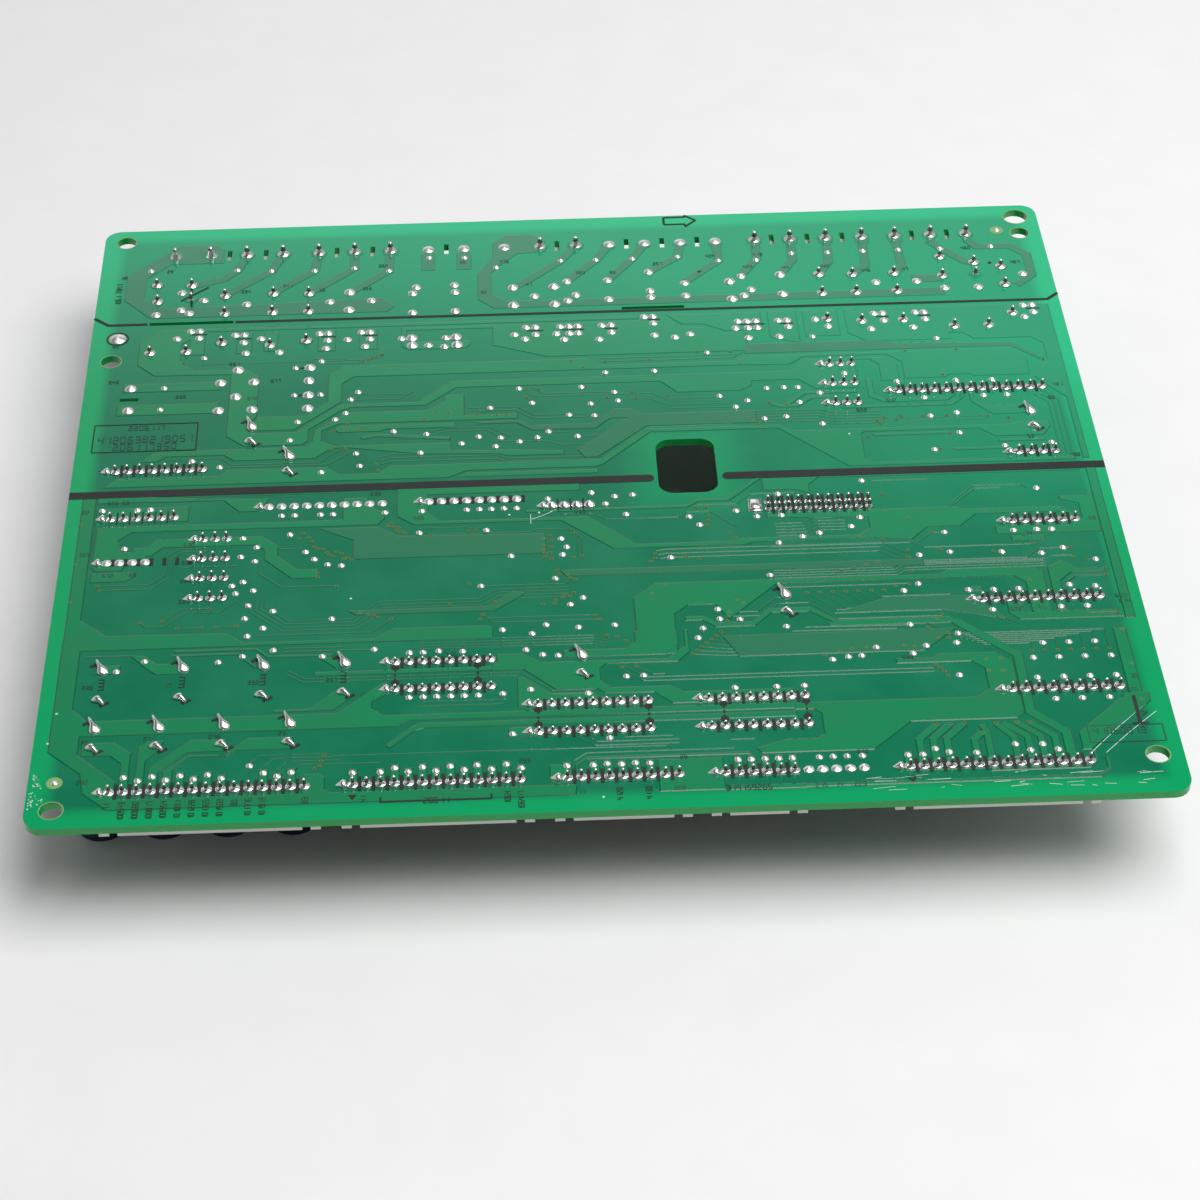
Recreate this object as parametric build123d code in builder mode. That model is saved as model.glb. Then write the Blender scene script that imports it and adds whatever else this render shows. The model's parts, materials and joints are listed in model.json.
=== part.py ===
from build123d import *

import os

# Main circuit board of a household appliance: it lies on its parts, with its solder side up.
# Places on the board are measured in mm from its front left corner, x to the right and y to the back.

os.makedirs("parts", exist_ok=True)

# --- Board ---------------------------------------------------------------------------------------
board_width = 208.0
board_depth = 189.0
board_thickness = 1.6
board_corner_radius = 3.5

small_hole_diameter = 4.2
large_hole_diameter = 5.3
pilot_hole_diameter = 4.0
hole_inset_x = 4.8
hole_inset_y = 4.6
left_hole_y = 139.7
right_hole_y = 9.7
pilot_hole_spacing = 6.5
small_holes = [
    (hole_inset_x, board_depth - hole_inset_y),
    (hole_inset_x, left_hole_y),
    (hole_inset_x, hole_inset_y),
    (board_width - hole_inset_x, right_hole_y),
]
large_hole = (board_width - hole_inset_x, board_depth - hole_inset_y)
pilot_hole = (large_hole[0], large_hole[1] - pilot_hole_spacing)

window_width = 11.9
window_depth = 17.5
window_centre = (123.95, 98.05)
window_corner_radius = 3.0

slot_width = 1.0
power_slot_length = 3.7
power_row_y = 178.3
power_slots = [
    28, 36, 51.7, 59.6, 75.9, 100.4, 115.8, 123.7, 131.5, 148.1, 156, 163.8, 179.3, 187.1,
]
cross_slots = [((21.0, 152.9), 18.0), ((120.3, 153.6), 13.4), ((9.6, 126.0), 3.9)]

# --- Heights of the tall parts, on which the board stands ----------------------------------------
power_relay_height = 20.0
tall_capacitor_height = 20.0
stand_height = max(power_relay_height, tall_capacitor_height)

# --- Signal wafers: the sockets for the cable plugs ----------------------------------------------
pin_pitch = 2.5
pin_size = 0.64
wafer_height = 7.0
wafer_front = 2.35
wafer_back = 3.4
wafer_end = 2.45
wafer_wall = 0.75
wafer_floor = 1.4
key_slot_width = 1.5
key_slot_depth = 4.2
key_slot_inset = 2.6
pin_tip_inset = 0.8
wafers = {
    "front_wafer_1": (14.7, 8.7, 15),
    "front_wafer_2": (58.3, 8.7, 13),
    "front_wafer_3": (96.8, 8.7, 9),
    "front_wafer_4": (125.1, 8.7, 6),
    "front_wafer_5": (158.3, 8.7, 14),
    "left_wafer_1": (8.7, 101.7, 8),
    "left_wafer_2": (9.0, 86.5, 6),
    "middle_wafer": (96.4, 86.5, 4),
    "right_wafer_1": (169.4, 121.0, 13),
    "right_wafer_2": (191.3, 99.2, 4),
    "right_wafer_3": (186.7, 77.3, 6),
    "right_wafer_4": (177.6, 53.9, 10),
    "right_wafer_5": (179.5, 28.3, 9),
}
spare_rows = [(9.2, 72.9, 4), (40.2, 88.9, 10), (72.0, 89.0, 8)]
spare_row_end = (140.1, 8.7, 5)

# --- Box header with two rows of pins ------------------------------------------------------------
header_pitch = 2.0
header_columns = 11
header_pin_size = 0.5
header_first_pin = (139.2, 83.3)
header_end = 2.9
header_side = 2.3
header_height = 9.0
header_wall = 0.9
header_floor = 2.0
header_key_width = 4.2

# --- Power wafers: every second place of the row holds a blade -----------------------------------
power_pitch = 7.92
power_pin_size = 1.14
power_pin_length = 8.2
power_base_height = 3.2
power_base_front = 4.4
power_base_back = 3.6
power_base_end = 3.6
power_wall_height = 9.4
power_wall_thickness = 1.2
power_rib_width = 1.4
power_rib_depth = 0.8
power_wafers = {
    "power_wafer_1": (16.1, 4),
    "power_wafer_2": (47.8, 3),
    "power_wafer_3": (96.6, 2),
    "power_wafer_4": (144.2, 4),
    "power_wafer_5": (175.4, 3),
}
spare_power_pads = [71.9, 79.8, 88.7, 112, 119.8, 127.7, 135.5]

# --- Relays --------------------------------------------------------------------------------------
power_relay_width = 12.7
power_relay_depth = 29.0
relay_edge_radius = 0.8
relay_foot_height = 1.2
relay_foot_inset = 0.5
power_relays = {"power_relay_1": (16.6, 154.6), "power_relay_2": (187.8, 156.0)}

slim_relay_width = 6.2
slim_relay_depth = 23.0
slim_relay_height = 15.3
slim_relay_chamfer = 0.5
slim_relays = [
    (28.0, 153.6),
    (38.3, 153.2),
    (46.0, 153.8),
    (157.2, 155.2),
    (164.6, 154.6),
    (173.6, 154.6),
    (197.4, 156.0),
]

# --- Transformer ---------------------------------------------------------------------------------
transformer_centre = (39.2, 128.2)
bobbin_width = 19.0
bobbin_depth = 18.0
bobbin_height = 3.6
bobbin_chamfer = 0.5
winding_height = 13.2
winding_corner_radius = 2.0
core_width = 20.0
core_depth = 18.0
core_thickness = 5.6
core_limb = 2.8
core_yoke = 4.2
core_gap = 0.3

# --- Chokes and electrolytic capacitors, with leads bent over on the solder side -----------------
choke_diameter = 10.5
choke_height = 14.0
choke_rim_chamfer = 0.8
choke_lead_spread = 8.7
chokes = [(10.3, 37.7), (25.4, 37.7), (40.4, 37.7), (55.6, 37.7)]

capacitor_diameter = 10.0
capacitor_lead_spread = 5.6
small_capacitor_height = 12.5
crimp_depth = 0.5
crimp_drop = 2.2
crimp_width = 1.0
tall_capacitors = [
    (10.2, 23.2),
    (21.9, 23.2),
    (33.8, 23.2),
    (45.9, 23.2),
    (35.0, 113.2),
    (43.0, 103.0),
    (195.2, 110.4),
]
small_capacitors = [(139.6, 55.0), (100.0, 39.3)]

# --- Driver chips in two rows of legs ------------------------------------------------------------
chip_pitch = 2.54
chip_row_spread = 7.5
chip_body_width = 6.4
chip_body_height = 3.3
chip_stand_off = 0.6
chip_end = 1.2
chip_draft = 0.35
chip_notch_diameter = 1.6
leg_width = 1.2
leg_thickness = 0.3
driver_chips = {
    "driver_chip_1": (65.7, 37.5, 8),
    "driver_chip_2": (92.0, 24.7, 9),
    "driver_chip_3": (123.5, 24.7, 8),
}

# --- Controller: a flat square chip under the middle of the board --------------------------------
controller_centre = (84.0, 114.8)
controller_size = 14.0
controller_height = 1.8
controller_chamfer = 0.5
controller_stand_off = 0.15
controller_pitch = 0.8
controller_legs_per_side = 16
controller_leg_width = 0.35
controller_leg_reach = 1.2
controller_leg_thickness = 0.2

# --- Three-lead regulators and transistors, standing up ------------------------------------------
lead_pitch = 2.3
regulator_width = 10.2
regulator_thickness = 4.4
regulator_body_height = 9.0
regulator_tab_thickness = 1.3
regulator_tab_height = 6.2
regulator_tab_chamfer = 1.2
regulator_lead_length = 3.0
regulator_lead_width = 0.8
regulator_lead_thickness = 0.5
regulators = [
    (30.0, 79.3),
    (30.0, 73.3),
    (30.0, 67.4),
    (30.0, 61.4),
    (158.4, 131.0),
    (158.4, 124.2),
    (158.4, 117.4),
]

# --- Small parts that lie between two leads: (centre), angle -------------------------------------
lying_part_sides = 8
resistor_diameter = 2.3
resistor_length = 6.3
resistors = [
    ((54.7, 159.3), 90), ((90.3, 159.2), 90), ((99.2, 159.1), 90), ((111.0, 160.7), 90),
    ((148.7, 160.7), 90), ((140.2, 160.6), 90), ((103.8, 130.4), 0), ((119.3, 125.6), 0),
    ((97.3, 125.7), 0), ((40.0, 65.4), 0), ((88.0, 75.3), 0), ((76.7, 79.3), 0),
    ((103.0, 64.0), 0), ((110.0, 69.2), 0), ((186.0, 67.9), 0), ((166.0, 53.0), 90),
    ((145.4, 62.9), 0), ((168.5, 127.5), 0), ((180.5, 109.0), 90), ((88.0, 57.5), 90),
]
diode_diameter = 3.0
diode_length = 5.2
diodes = [
    ((118.4, 165.0), 0), ((55.0, 150.5), 90), ((46.9, 114.0), 90), ((72.1, 159.2), 90),
    ((77.6, 154.0), 90), ((190.4, 91.0), 0), ((146.5, 118.0), 0), ((17.0, 112.6), 0),
]

# --- Solder: every joint is a cone that runs up its lead -----------------------------------------
cone_sides = 6
pin_joint_radius = 1.0
pin_joint_height = 1.9
header_joint_radius = 0.75
chip_joint_radius = 0.95
chip_joint_height = 1.3
power_joint_radius = 1.4
power_joint_height = 2.4
relay_joint_radius = 1.25
relay_joint_height = 1.9
small_joint_radius = 0.85
small_joint_height = 0.5
small_cone_sides = 4
spare_joint_radius = 1.05
spare_joint_height = 0.5
spare_power_radius = 1.35
spare_power_height = 0.5
large_pad_radius = 1.3
large_pad_height = 0.8
thief_length = 1.9
thief_width = 2.0
thief_height = 0.9
thief_peak_offset = 0.45
thief_gap = 0.15
bent_joint_radius = 1.1
bent_joint_height = 0.9
bent_lead_length = 2.4
bent_lead_width = 0.8
bent_lead_height = 0.7
rear_bend_angle = 115
front_bend_angle = -40

power_joint_row = [
    16.1, 24.0, 31.9, 39.9, 47.8, 55.7, 63.6, 96.6, 104.6, 144.2, 152.1, 160.0, 168.0, 175.4,
    183.3, 191.2,
]
relay_leads = [
    (12.7, 167.5), (20.3, 167.0), (12.8, 142.4), (20.5, 142.4), (13.2, 161.2), (20.4, 161.8),
    (27.8, 162.7), (28.0, 156.0), (27.9, 145.2), (38.3, 163.0), (38.3, 156.0), (38.2, 143.9),
    (46.0, 162.7), (46.0, 156.0), (45.9, 145.2), (157.2, 164.2), (157.2, 157.0), (157.3, 147.3),
    (164.5, 163.8), (164.6, 157.0), (164.6, 146.2), (173.6, 163.8), (173.5, 157.0),
    (173.5, 146.2), (184.3, 169.5), (184.0, 162.2), (191.5, 167.0), (191.3, 162.6),
    (184.1, 143.4), (191.5, 143.4), (197.2, 165.1), (197.2, 158.3), (197.2, 147.6),
]
large_pads = [
    (9.7, 129.7), (9.7, 122.1), (31.9, 135.2), (28.4, 130.8), (35.4, 130.8), (31.8, 125.8),
    (28.4, 121.2), (35.4, 121.2), (47.0, 135.3), (46.9, 130.7), (46.9, 125.7), (46.9, 121.1),
    (78.0, 142.0), (77.8, 144.8), (68.5, 142.2), (68.4, 144.9), (5.6, 147.8), (90.3, 162.5),
    (90.3, 155.9), (99.2, 162.4), (99.2, 155.8), (137.5, 162.4), (137.6, 155.8), (148.7, 164.4),
    (148.7, 157.0), (54.8, 162.6), (54.8, 156.0),
]
small_leads = [
    (11, 173), (30, 172.3), (37.5, 171.6), (47, 171.3), (55.7, 171.8), (63.3, 170.4),
    (72.1, 175), (79.9, 174.6), (86.8, 170.4), (101, 172.3), (108.8, 172.2), (116.8, 172.2),
    (126.8, 172.5), (135.7, 170.5), (144, 170.4), (152, 172.5), (159.9, 172.4), (167.7, 172.6),
    (175.6, 172.6), (184.9, 172.6), (196.1, 172.8), (13.2, 156.3), (18.3, 164.3), (23.2, 161.2),
    (18.5, 157.8), (20.3, 156.5), (32.6, 159.3), (50.6, 159.3), (59.6, 159.3), (68.5, 161.5),
    (69.3, 163.8), (68.5, 154.3), (77.6, 164.2), (77.7, 161.5), (77.7, 154.4), (94.9, 159.1),
    (102.1, 164.3), (102.1, 157), (103.9, 159.1), (111, 164.3), (111, 157.1), (120.1, 167),
    (120.1, 159.8), (120.1, 157.5), (127.7, 162.3), (127.7, 157.6), (140.2, 164.3), (140.3, 157),
    (142, 159.1), (169.3, 160.5), (178.2, 160.5), (184, 157.6), (191.3, 157.6), (201.6, 162),
    (21.1, 149.8), (23, 149.8), (23, 147.2), (18.3, 147.2), (30.7, 147.9), (32.6, 147.9),
    (32.6, 145.1), (36.3, 146.3), (48.7, 147.6), (50.6, 147.6), (50.5, 145), (54.7, 145),
    (57.6, 147.6), (59.5, 147.6), (59.5, 145), (66.2, 144.8), (75.6, 144.6), (71.9, 142.1),
    (75.3, 141.4), (50.2, 142.1), (58.5, 142.4), (33.2, 141.2), (40.3, 141.2), (90.3, 145),
    (92.8, 147.5), (94.8, 147.5), (94.8, 144.8), (92.5, 143.3), (99.2, 144.9), (100.1, 147.5),
    (102, 147.5), (103.9, 147.5), (102, 144.9), (103.9, 144.9), (100.8, 142.7), (109, 147.5),
    (111, 147.5), (111, 144.8), (108.3, 142.4), (118.2, 150.2), (120.1, 150.2), (120.1, 147.7),
    (120.1, 143.3), (124.4, 142.3), (127.7, 143.3), (137.5, 144.9), (138.2, 147.4),
    (140.1, 147.4), (142, 147.4), (140.2, 144.9), (142.2, 144.9), (146.8, 147.3), (148.7, 147.3),
    (148.8, 144.9), (154.8, 147.3), (157.3, 144.6), (167.5, 148.8), (169.4, 148.8),
    (169.4, 146.2), (166.4, 143.2), (176.4, 148.8), (178.3, 148.8), (178.3, 146.2),
    (175.4, 143.3), (199.9, 150.2), (201.8, 150.2), (201.8, 147.6), (199.6, 145.9), (140, 141.3),
    (146.6, 141.4), (153.6, 141), (179.8, 139), (24.5, 139.8), (44, 135.3), (44, 125.7),
    (49.4, 137.5), (49.5, 125.7), (16.7, 129.6), (16.4, 122.1), (45, 116.5), (43.6, 110.4),
    (50.3, 99.5), (57.3, 126.2), (55.8, 123.6), (54.8, 119), (52.7, 117), (64.8, 112.3),
    (57.2, 105.3), (58, 101.2), (130.8, 136.3), (109, 130.4), (119.3, 130.5), (90.8, 125.7),
    (103.8, 125.6), (110.6, 123.5), (111.2, 120.5), (93.4, 120.6), (84.7, 119.3), (105.5, 119.7),
    (100.9, 116.1), (106.1, 115.6), (132.3, 120.9), (138, 119.1), (135.4, 117), (71.5, 111),
    (82.2, 109.7), (78.7, 107.6), (86.7, 109.1), (85.6, 106.3), (90.5, 107.6), (94.2, 108.8),
    (96.5, 110.7), (102.4, 108.8), (70.3, 104.9), (142.3, 123.2), (145.9, 123.3), (148.8, 123.2),
    (148.7, 118), (141, 112.8), (145.5, 113.3), (152.7, 110.4), (159, 127.5), (153.2, 121),
    (175.1, 112), (180.6, 112.8), (180.3, 106), (174.5, 100.7), (12.4, 77.1), (35.5, 79.2),
    (35.3, 73.5), (38.3, 76.3), (38.1, 72), (36.1, 65.9), (34, 64.8), (34.8, 62.5), (38.2, 63.2),
    (37.4, 58.8), (42.2, 57), (36.9, 55), (40.5, 52.1), (37.6, 49.9), (44.7, 79.9), (47.9, 74.4),
    (49.7, 72.1), (52.3, 70.4), (55, 69.9), (53.5, 54.2), (83.3, 79.4), (70.1, 79.2), (97.9, 76),
    (98.9, 73.4), (98, 71.1), (88, 71.2), (119, 69.2), (96.4, 64), (82, 62.4), (101.5, 58),
    (99, 56.2), (127, 53.4), (127.2, 50.6), (131, 50.2), (123.8, 48), (85.9, 49.4), (94.2, 50.5),
    (91.5, 48.1), (100.3, 49.5), (107.2, 49.8), (137.8, 62.9), (109, 88.8), (112.6, 89.1),
    (104.4, 90.2), (107.1, 86.5), (111, 83), (123.4, 81.6), (125.3, 79), (132.8, 83),
    (136.8, 81), (158.6, 91.3), (193.1, 87.2), (157, 79.7), (155, 77), (148.6, 75.3),
    (145.2, 74.4), (140.4, 72.6), (173, 74.2), (173.3, 68.2), (167.3, 67.6), (183.4, 67.8),
    (191, 67), (195.4, 68.4), (201.2, 64.6), (166, 59), (163, 57.1), (163, 47.2), (139.6, 47.8),
    (13.6, 41.0), (18.7, 43.6), (32.5, 42.8), (37, 44.2), (42.7, 45.7), (52, 43.5), (61.7, 45),
    (90.2, 43.5), (93.3, 42), (96.2, 41.6), (108.7, 35.2), (111.9, 35.3), (122.7, 45.3),
    (90.8, 32.4), (87.2, 20.5), (104.8, 18.6), (155.9, 41), (165.3, 41), (162.6, 39),
    (152.9, 38.8), (150.4, 38.6), (147.4, 38), (171.7, 44.2), (171.1, 41.6), (170.4, 32.5),
    (184.8, 36.7), (189.6, 36.7), (194.5, 36.7), (199.4, 36.7), (187.2, 40.8), (192.1, 40.8),
    (197, 40.8), (24, 104.4), (29.7, 102.1), (7.1, 89.2), (14.1, 89.1), (16.7, 89.1),
    (42.8, 85.9), (45.4, 85.9), (50.5, 85.9), (53, 85.9), (63.3, 85.9), (70.6, 86), (79.5, 86),
    (82, 86), (84.4, 86), (86.9, 86), (89.4, 86), (95.7, 88.6), (141.5, 87.9), (141.6, 81.1),
    (169.6, 124.2), (181.9, 124), (189.4, 123.8), (174.6, 118.3), (186.9, 118.4), (191.8, 118.4),
    (198.5, 101.9), (188.9, 101.3), (186.6, 74.2), (191.2, 74.3), (194.1, 74.2), (175.4, 56.7),
    (180.2, 56.6), (185, 56.6), (194.9, 57.3), (199.8, 56.7), (179.2, 50.7), (192.3, 51),
    (197.3, 51), (184.7, 31.2), (189.6, 31.2), (194.5, 31.2), (199.4, 31.2), (187.2, 25.2),
    (192.1, 25.2), (197.1, 25.2), (17.1, 12.4), (22.2, 12.4), (27.2, 12.4), (32.2, 12.4),
    (42.2, 12.4), (47.2, 12.4), (19.7, 11.4), (24.7, 11.4), (29.7, 11.4), (34.7, 11.4),
    (44.7, 11.4), (39.6, 14.4), (58.2, 11.7), (63.2, 11.7), (65.8, 12.6), (70.8, 12.6),
    (75.8, 12.6), (80.6, 12.6), (85.9, 12.6), (68.2, 11.5), (73.2, 11.5), (78.3, 11.5),
    (83.2, 11.5), (88.6, 11.5), (96.8, 11.7), (101.5, 11.7), (104, 11.9), (106.6, 11.7),
    (109.1, 11.9), (111.7, 11.7), (127.6, 11.8), (130, 11.8), (132.5, 11.8), (134.9, 11.8),
    (137.4, 11.8), (142.3, 11.8), (144.8, 11.8), (147.3, 11.8), (150.1, 11.8), (158.3, 11.6),
    (161, 11.6), (163.4, 13), (165.8, 12), (170.7, 11.6), (178, 13.5), (180.5, 11.8),
    (182.9, 13.3), (185.5, 11.8), (68.3, 43.7), (70.9, 43.7), (73.8, 44), (78.3, 43.7),
    (68.3, 31.3), (70.9, 31.3), (73.4, 31.3), (76, 31.3), (78.5, 31.3), (81.1, 31.3),
    (85.6, 31.5), (101.4, 30.9), (128.6, 31.1), (136.3, 31), (141.4, 31), (4.8, 11.6),
    (198.3, 179.2),
]


def board_plane(drop=0.0):
    """Level plane at this drop under the board's component side, measured from the front left corner."""
    return Plane(origin=(-board_width / 2, -board_depth / 2, stand_height - drop))


def row(first_x, y, count, pitch):
    """Places along a row of pins."""
    return [(first_x + number * pitch, y) for number in range(count)]


def write(piece, label):
    """Label a finished piece and write its STEP file."""
    piece.part.label = label
    export_step(piece.part, f"parts/{label}.step")


def below(centre, drop=0.0):
    """Place under the board at this drop, for a block that hangs from it or rises to it."""
    return (centre[0], centre[1], -drop)


hanging = (Align.CENTER, Align.CENTER, Align.MAX)
rising = (Align.CENTER, Align.CENTER, Align.MIN)


# --- Board: laminate with its holes, window and isolation slots ----------------------------------
with BuildPart() as circuit_board:
    with BuildSketch(board_plane()):
        with Locations((board_width / 2, board_depth / 2)):
            RectangleRounded(board_width, board_depth, board_corner_radius)
        with Locations(*small_holes):
            Circle(small_hole_diameter / 2, mode=Mode.SUBTRACT)
        with Locations(large_hole):
            Circle(large_hole_diameter / 2, mode=Mode.SUBTRACT)
        with Locations(pilot_hole):
            Circle(pilot_hole_diameter / 2, mode=Mode.SUBTRACT)
        with Locations(window_centre):
            RectangleRounded(window_width, window_depth, window_corner_radius, mode=Mode.SUBTRACT)
        with Locations(*[(x, power_row_y) for x in power_slots]):
            Rectangle(slot_width, power_slot_length, mode=Mode.SUBTRACT)
        for slot_centre, slot_length in cross_slots:
            with Locations(slot_centre):
                Rectangle(slot_length, slot_width, mode=Mode.SUBTRACT)
    extrude(amount=board_thickness)
write(circuit_board, "circuit_board")


# --- Signal wafers: open-topped sockets with two key slots in the front wall ---------------------
def make_wafer(label, first_x, row_y, pins):
    """Housing of one signal wafer, hanging from the component side with its mouth down."""
    length = (pins - 1) * pin_pitch + 2 * wafer_end
    depth = wafer_front + wafer_back
    centre = (first_x + (pins - 1) * pin_pitch / 2, row_y + (wafer_back - wafer_front) / 2)
    slot_offset = length / 2 - key_slot_inset
    slot_y = row_y - wafer_front + wafer_wall / 2
    slot_places = [(centre[0] + side * slot_offset, slot_y) for side in (-1, 1)]
    with BuildPart(board_plane()) as wafer:
        with Locations(below(centre)):
            Box(length, depth, wafer_height, align=hanging)
        with Locations(below(centre, wafer_height)):
            Box(
                length - 2 * wafer_wall,
                depth - 2 * wafer_wall,
                wafer_height - wafer_floor,
                align=rising,
                mode=Mode.SUBTRACT,
            )
        with Locations(*[below(place, wafer_height) for place in slot_places]):
            Box(key_slot_width, wafer_wall, key_slot_depth, align=rising, mode=Mode.SUBTRACT)
    write(wafer, label)


for label, (first_x, row_y, pins) in wafers.items():
    make_wafer(label, first_x, row_y, pins)

# --- Box header ----------------------------------------------------------------------------------
header_places = [
    (header_first_pin[0] + column * header_pitch, header_first_pin[1] + line * header_pitch)
    for column in range(header_columns)
    for line in range(2)
]
header_length = (header_columns - 1) * header_pitch + 2 * header_end
header_depth = header_pitch + 2 * header_side
header_centre = (
    header_first_pin[0] + (header_columns - 1) * header_pitch / 2,
    header_first_pin[1] + header_pitch / 2,
)
header_key_place = (header_centre[0], header_centre[1] - header_depth / 2 + header_wall / 2)
with BuildPart(board_plane()) as header_shroud:
    with Locations(below(header_centre)):
        Box(header_length, header_depth, header_height, align=hanging)
    with Locations(below(header_centre, header_height)):
        Box(
            header_length - 2 * header_wall,
            header_depth - 2 * header_wall,
            header_height - header_floor,
            align=rising,
            mode=Mode.SUBTRACT,
        )
    with Locations(below(header_key_place, header_height)):
        Box(
            header_key_width,
            header_wall,
            header_height - header_floor,
            align=rising,
            mode=Mode.SUBTRACT,
        )
write(header_shroud, "header_shroud")

wafer_pin_places = [
    place for x, y, count in wafers.values() for place in row(x, y, count, pin_pitch)
]
wafer_pin_length = wafer_height - wafer_floor - pin_tip_inset
header_pin_length = header_height - header_floor - pin_tip_inset
with BuildPart(board_plane()) as signal_pins:
    with Locations(*[below(place, wafer_floor) for place in wafer_pin_places]):
        Box(pin_size, pin_size, wafer_pin_length, align=hanging)
    with Locations(*[below(place, header_floor) for place in header_places]):
        Box(header_pin_size, header_pin_size, header_pin_length, align=hanging)
write(signal_pins, "signal_pins")


# --- Power wafers: a foot, and a back wall with a rib at each end --------------------------------
def make_power_wafer(label, first_x, blades):
    """Housing of one power wafer, hanging from the component side."""
    length = (blades - 1) * power_pitch + 2 * power_base_end
    depth = power_base_front + power_base_back
    centre_x = first_x + (blades - 1) * power_pitch / 2
    centre = (centre_x, power_row_y + (power_base_back - power_base_front) / 2)
    wall_y = power_row_y + power_base_back - power_wall_thickness / 2
    rib_y = wall_y - power_wall_thickness / 2 - power_rib_depth / 2
    rib_offset = (length - power_rib_width) / 2
    with BuildPart(board_plane()) as power_wafer:
        with Locations(below(centre)):
            Box(length, depth, power_base_height, align=hanging)
        with Locations(below((centre[0], wall_y))):
            Box(length, power_wall_thickness, power_wall_height, align=hanging)
        with Locations(*[below((centre[0] + side * rib_offset, rib_y)) for side in (-1, 1)]):
            Box(power_rib_width, power_rib_depth, power_wall_height, align=hanging)
    write(power_wafer, label)


for label, (first_x, blades) in power_wafers.items():
    make_power_wafer(label, first_x, blades)

power_pin_places = [
    place for x, count in power_wafers.values() for place in row(x, power_row_y, count, power_pitch)
]
with BuildPart(board_plane()) as power_pins:
    with Locations(*[below(place, power_base_height) for place in power_pin_places]):
        Box(power_pin_size, power_pin_size, power_pin_length, align=hanging)
write(power_pins, "power_pins")


# --- Relays: a case on a slightly smaller foot ---------------------------------------------------
def make_power_relay(label, centre):
    """Closed case of a power relay."""
    with BuildPart(board_plane()) as relay:
        with Locations(below(centre)):
            Box(
                power_relay_width - 2 * relay_foot_inset,
                power_relay_depth - 2 * relay_foot_inset,
                relay_foot_height,
                align=hanging,
            )
        with BuildSketch(board_plane(relay_foot_height)):
            with Locations(centre):
                RectangleRounded(power_relay_width, power_relay_depth, relay_edge_radius)
        extrude(amount=-(power_relay_height - relay_foot_height))
    write(relay, label)


def make_slim_relay(label, centre):
    """Closed case of a slim relay."""
    with BuildPart(board_plane()) as relay:
        with Locations(below(centre)):
            Box(slim_relay_width, slim_relay_depth, slim_relay_height, align=hanging)
        chamfer(relay.edges().filter_by(Axis.Z), slim_relay_chamfer)
        chamfer(relay.faces().sort_by(Axis.Z)[0].edges(), slim_relay_chamfer)
    write(relay, label)


for label, centre in power_relays.items():
    make_power_relay(label, centre)
for number, centre in enumerate(slim_relays, start=1):
    make_slim_relay(f"slim_relay_{number}", centre)

# --- Transformer: a ferrite core round a winding, on a bobbin foot -------------------------------
with BuildPart(board_plane()) as transformer_bobbin:
    with Locations(below(transformer_centre)):
        Box(bobbin_width, bobbin_depth, bobbin_height, align=hanging)
    chamfer(transformer_bobbin.edges().filter_by(Axis.Z), bobbin_chamfer)
write(transformer_bobbin, "transformer_bobbin")

core_opening_width = core_width - 2 * core_limb
core_opening_depth = core_depth - 2 * core_yoke
with BuildPart() as transformer_winding:
    with BuildSketch(board_plane(bobbin_height)):
        with Locations(transformer_centre):
            RectangleRounded(
                core_opening_width - 2 * core_gap,
                core_opening_depth - 2 * core_gap,
                winding_corner_radius,
            )
    extrude(amount=-winding_height)
write(transformer_winding, "transformer_winding")

core_drop = bobbin_height + (winding_height - core_thickness) / 2
with BuildPart(board_plane()) as transformer_core:
    with Locations(below(transformer_centre, core_drop)):
        Box(core_width, core_depth, core_thickness, align=hanging)
        Box(core_opening_width, core_opening_depth, core_thickness, align=hanging, mode=Mode.SUBTRACT)
write(transformer_core, "transformer_core")

# --- Chokes and electrolytic capacitors ----------------------------------------------------------
with BuildPart() as chokes_group:
    with BuildSketch(board_plane()):
        with Locations(*chokes):
            Circle(choke_diameter / 2)
    extrude(amount=-choke_height)
    chamfer(chokes_group.faces().sort_by(Axis.Z)[: len(chokes)].edges(), choke_rim_chamfer)
write(chokes_group, "chokes")


def capacitor_can(height):
    """Can of an electrolytic capacitor, with the crimp that holds its rubber plug."""
    radius = capacitor_diameter / 2
    with BuildPart() as capacitor:
        with BuildSketch(Plane.XZ):
            with BuildLine():
                Polyline(
                    (0, 0),
                    (radius, 0),
                    (radius, -crimp_drop),
                    (radius - crimp_depth, -crimp_drop - crimp_width / 2),
                    (radius, -crimp_drop - crimp_width),
                    (radius, -height),
                    (0, -height),
                    close=True,
                )
            make_face()
        revolve(axis=Axis.Z)
    return capacitor.part


tall_can = capacitor_can(tall_capacitor_height)
for number, centre in enumerate(tall_capacitors, start=1):
    with BuildPart(board_plane()) as capacitor:
        with Locations(centre):
            add(tall_can)
    write(capacitor, f"capacitor_{number}")

with BuildPart(board_plane()) as short_capacitors:
    with Locations(*small_capacitors):
        add(capacitor_can(small_capacitor_height))
write(short_capacitors, "small_capacitors")


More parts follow.
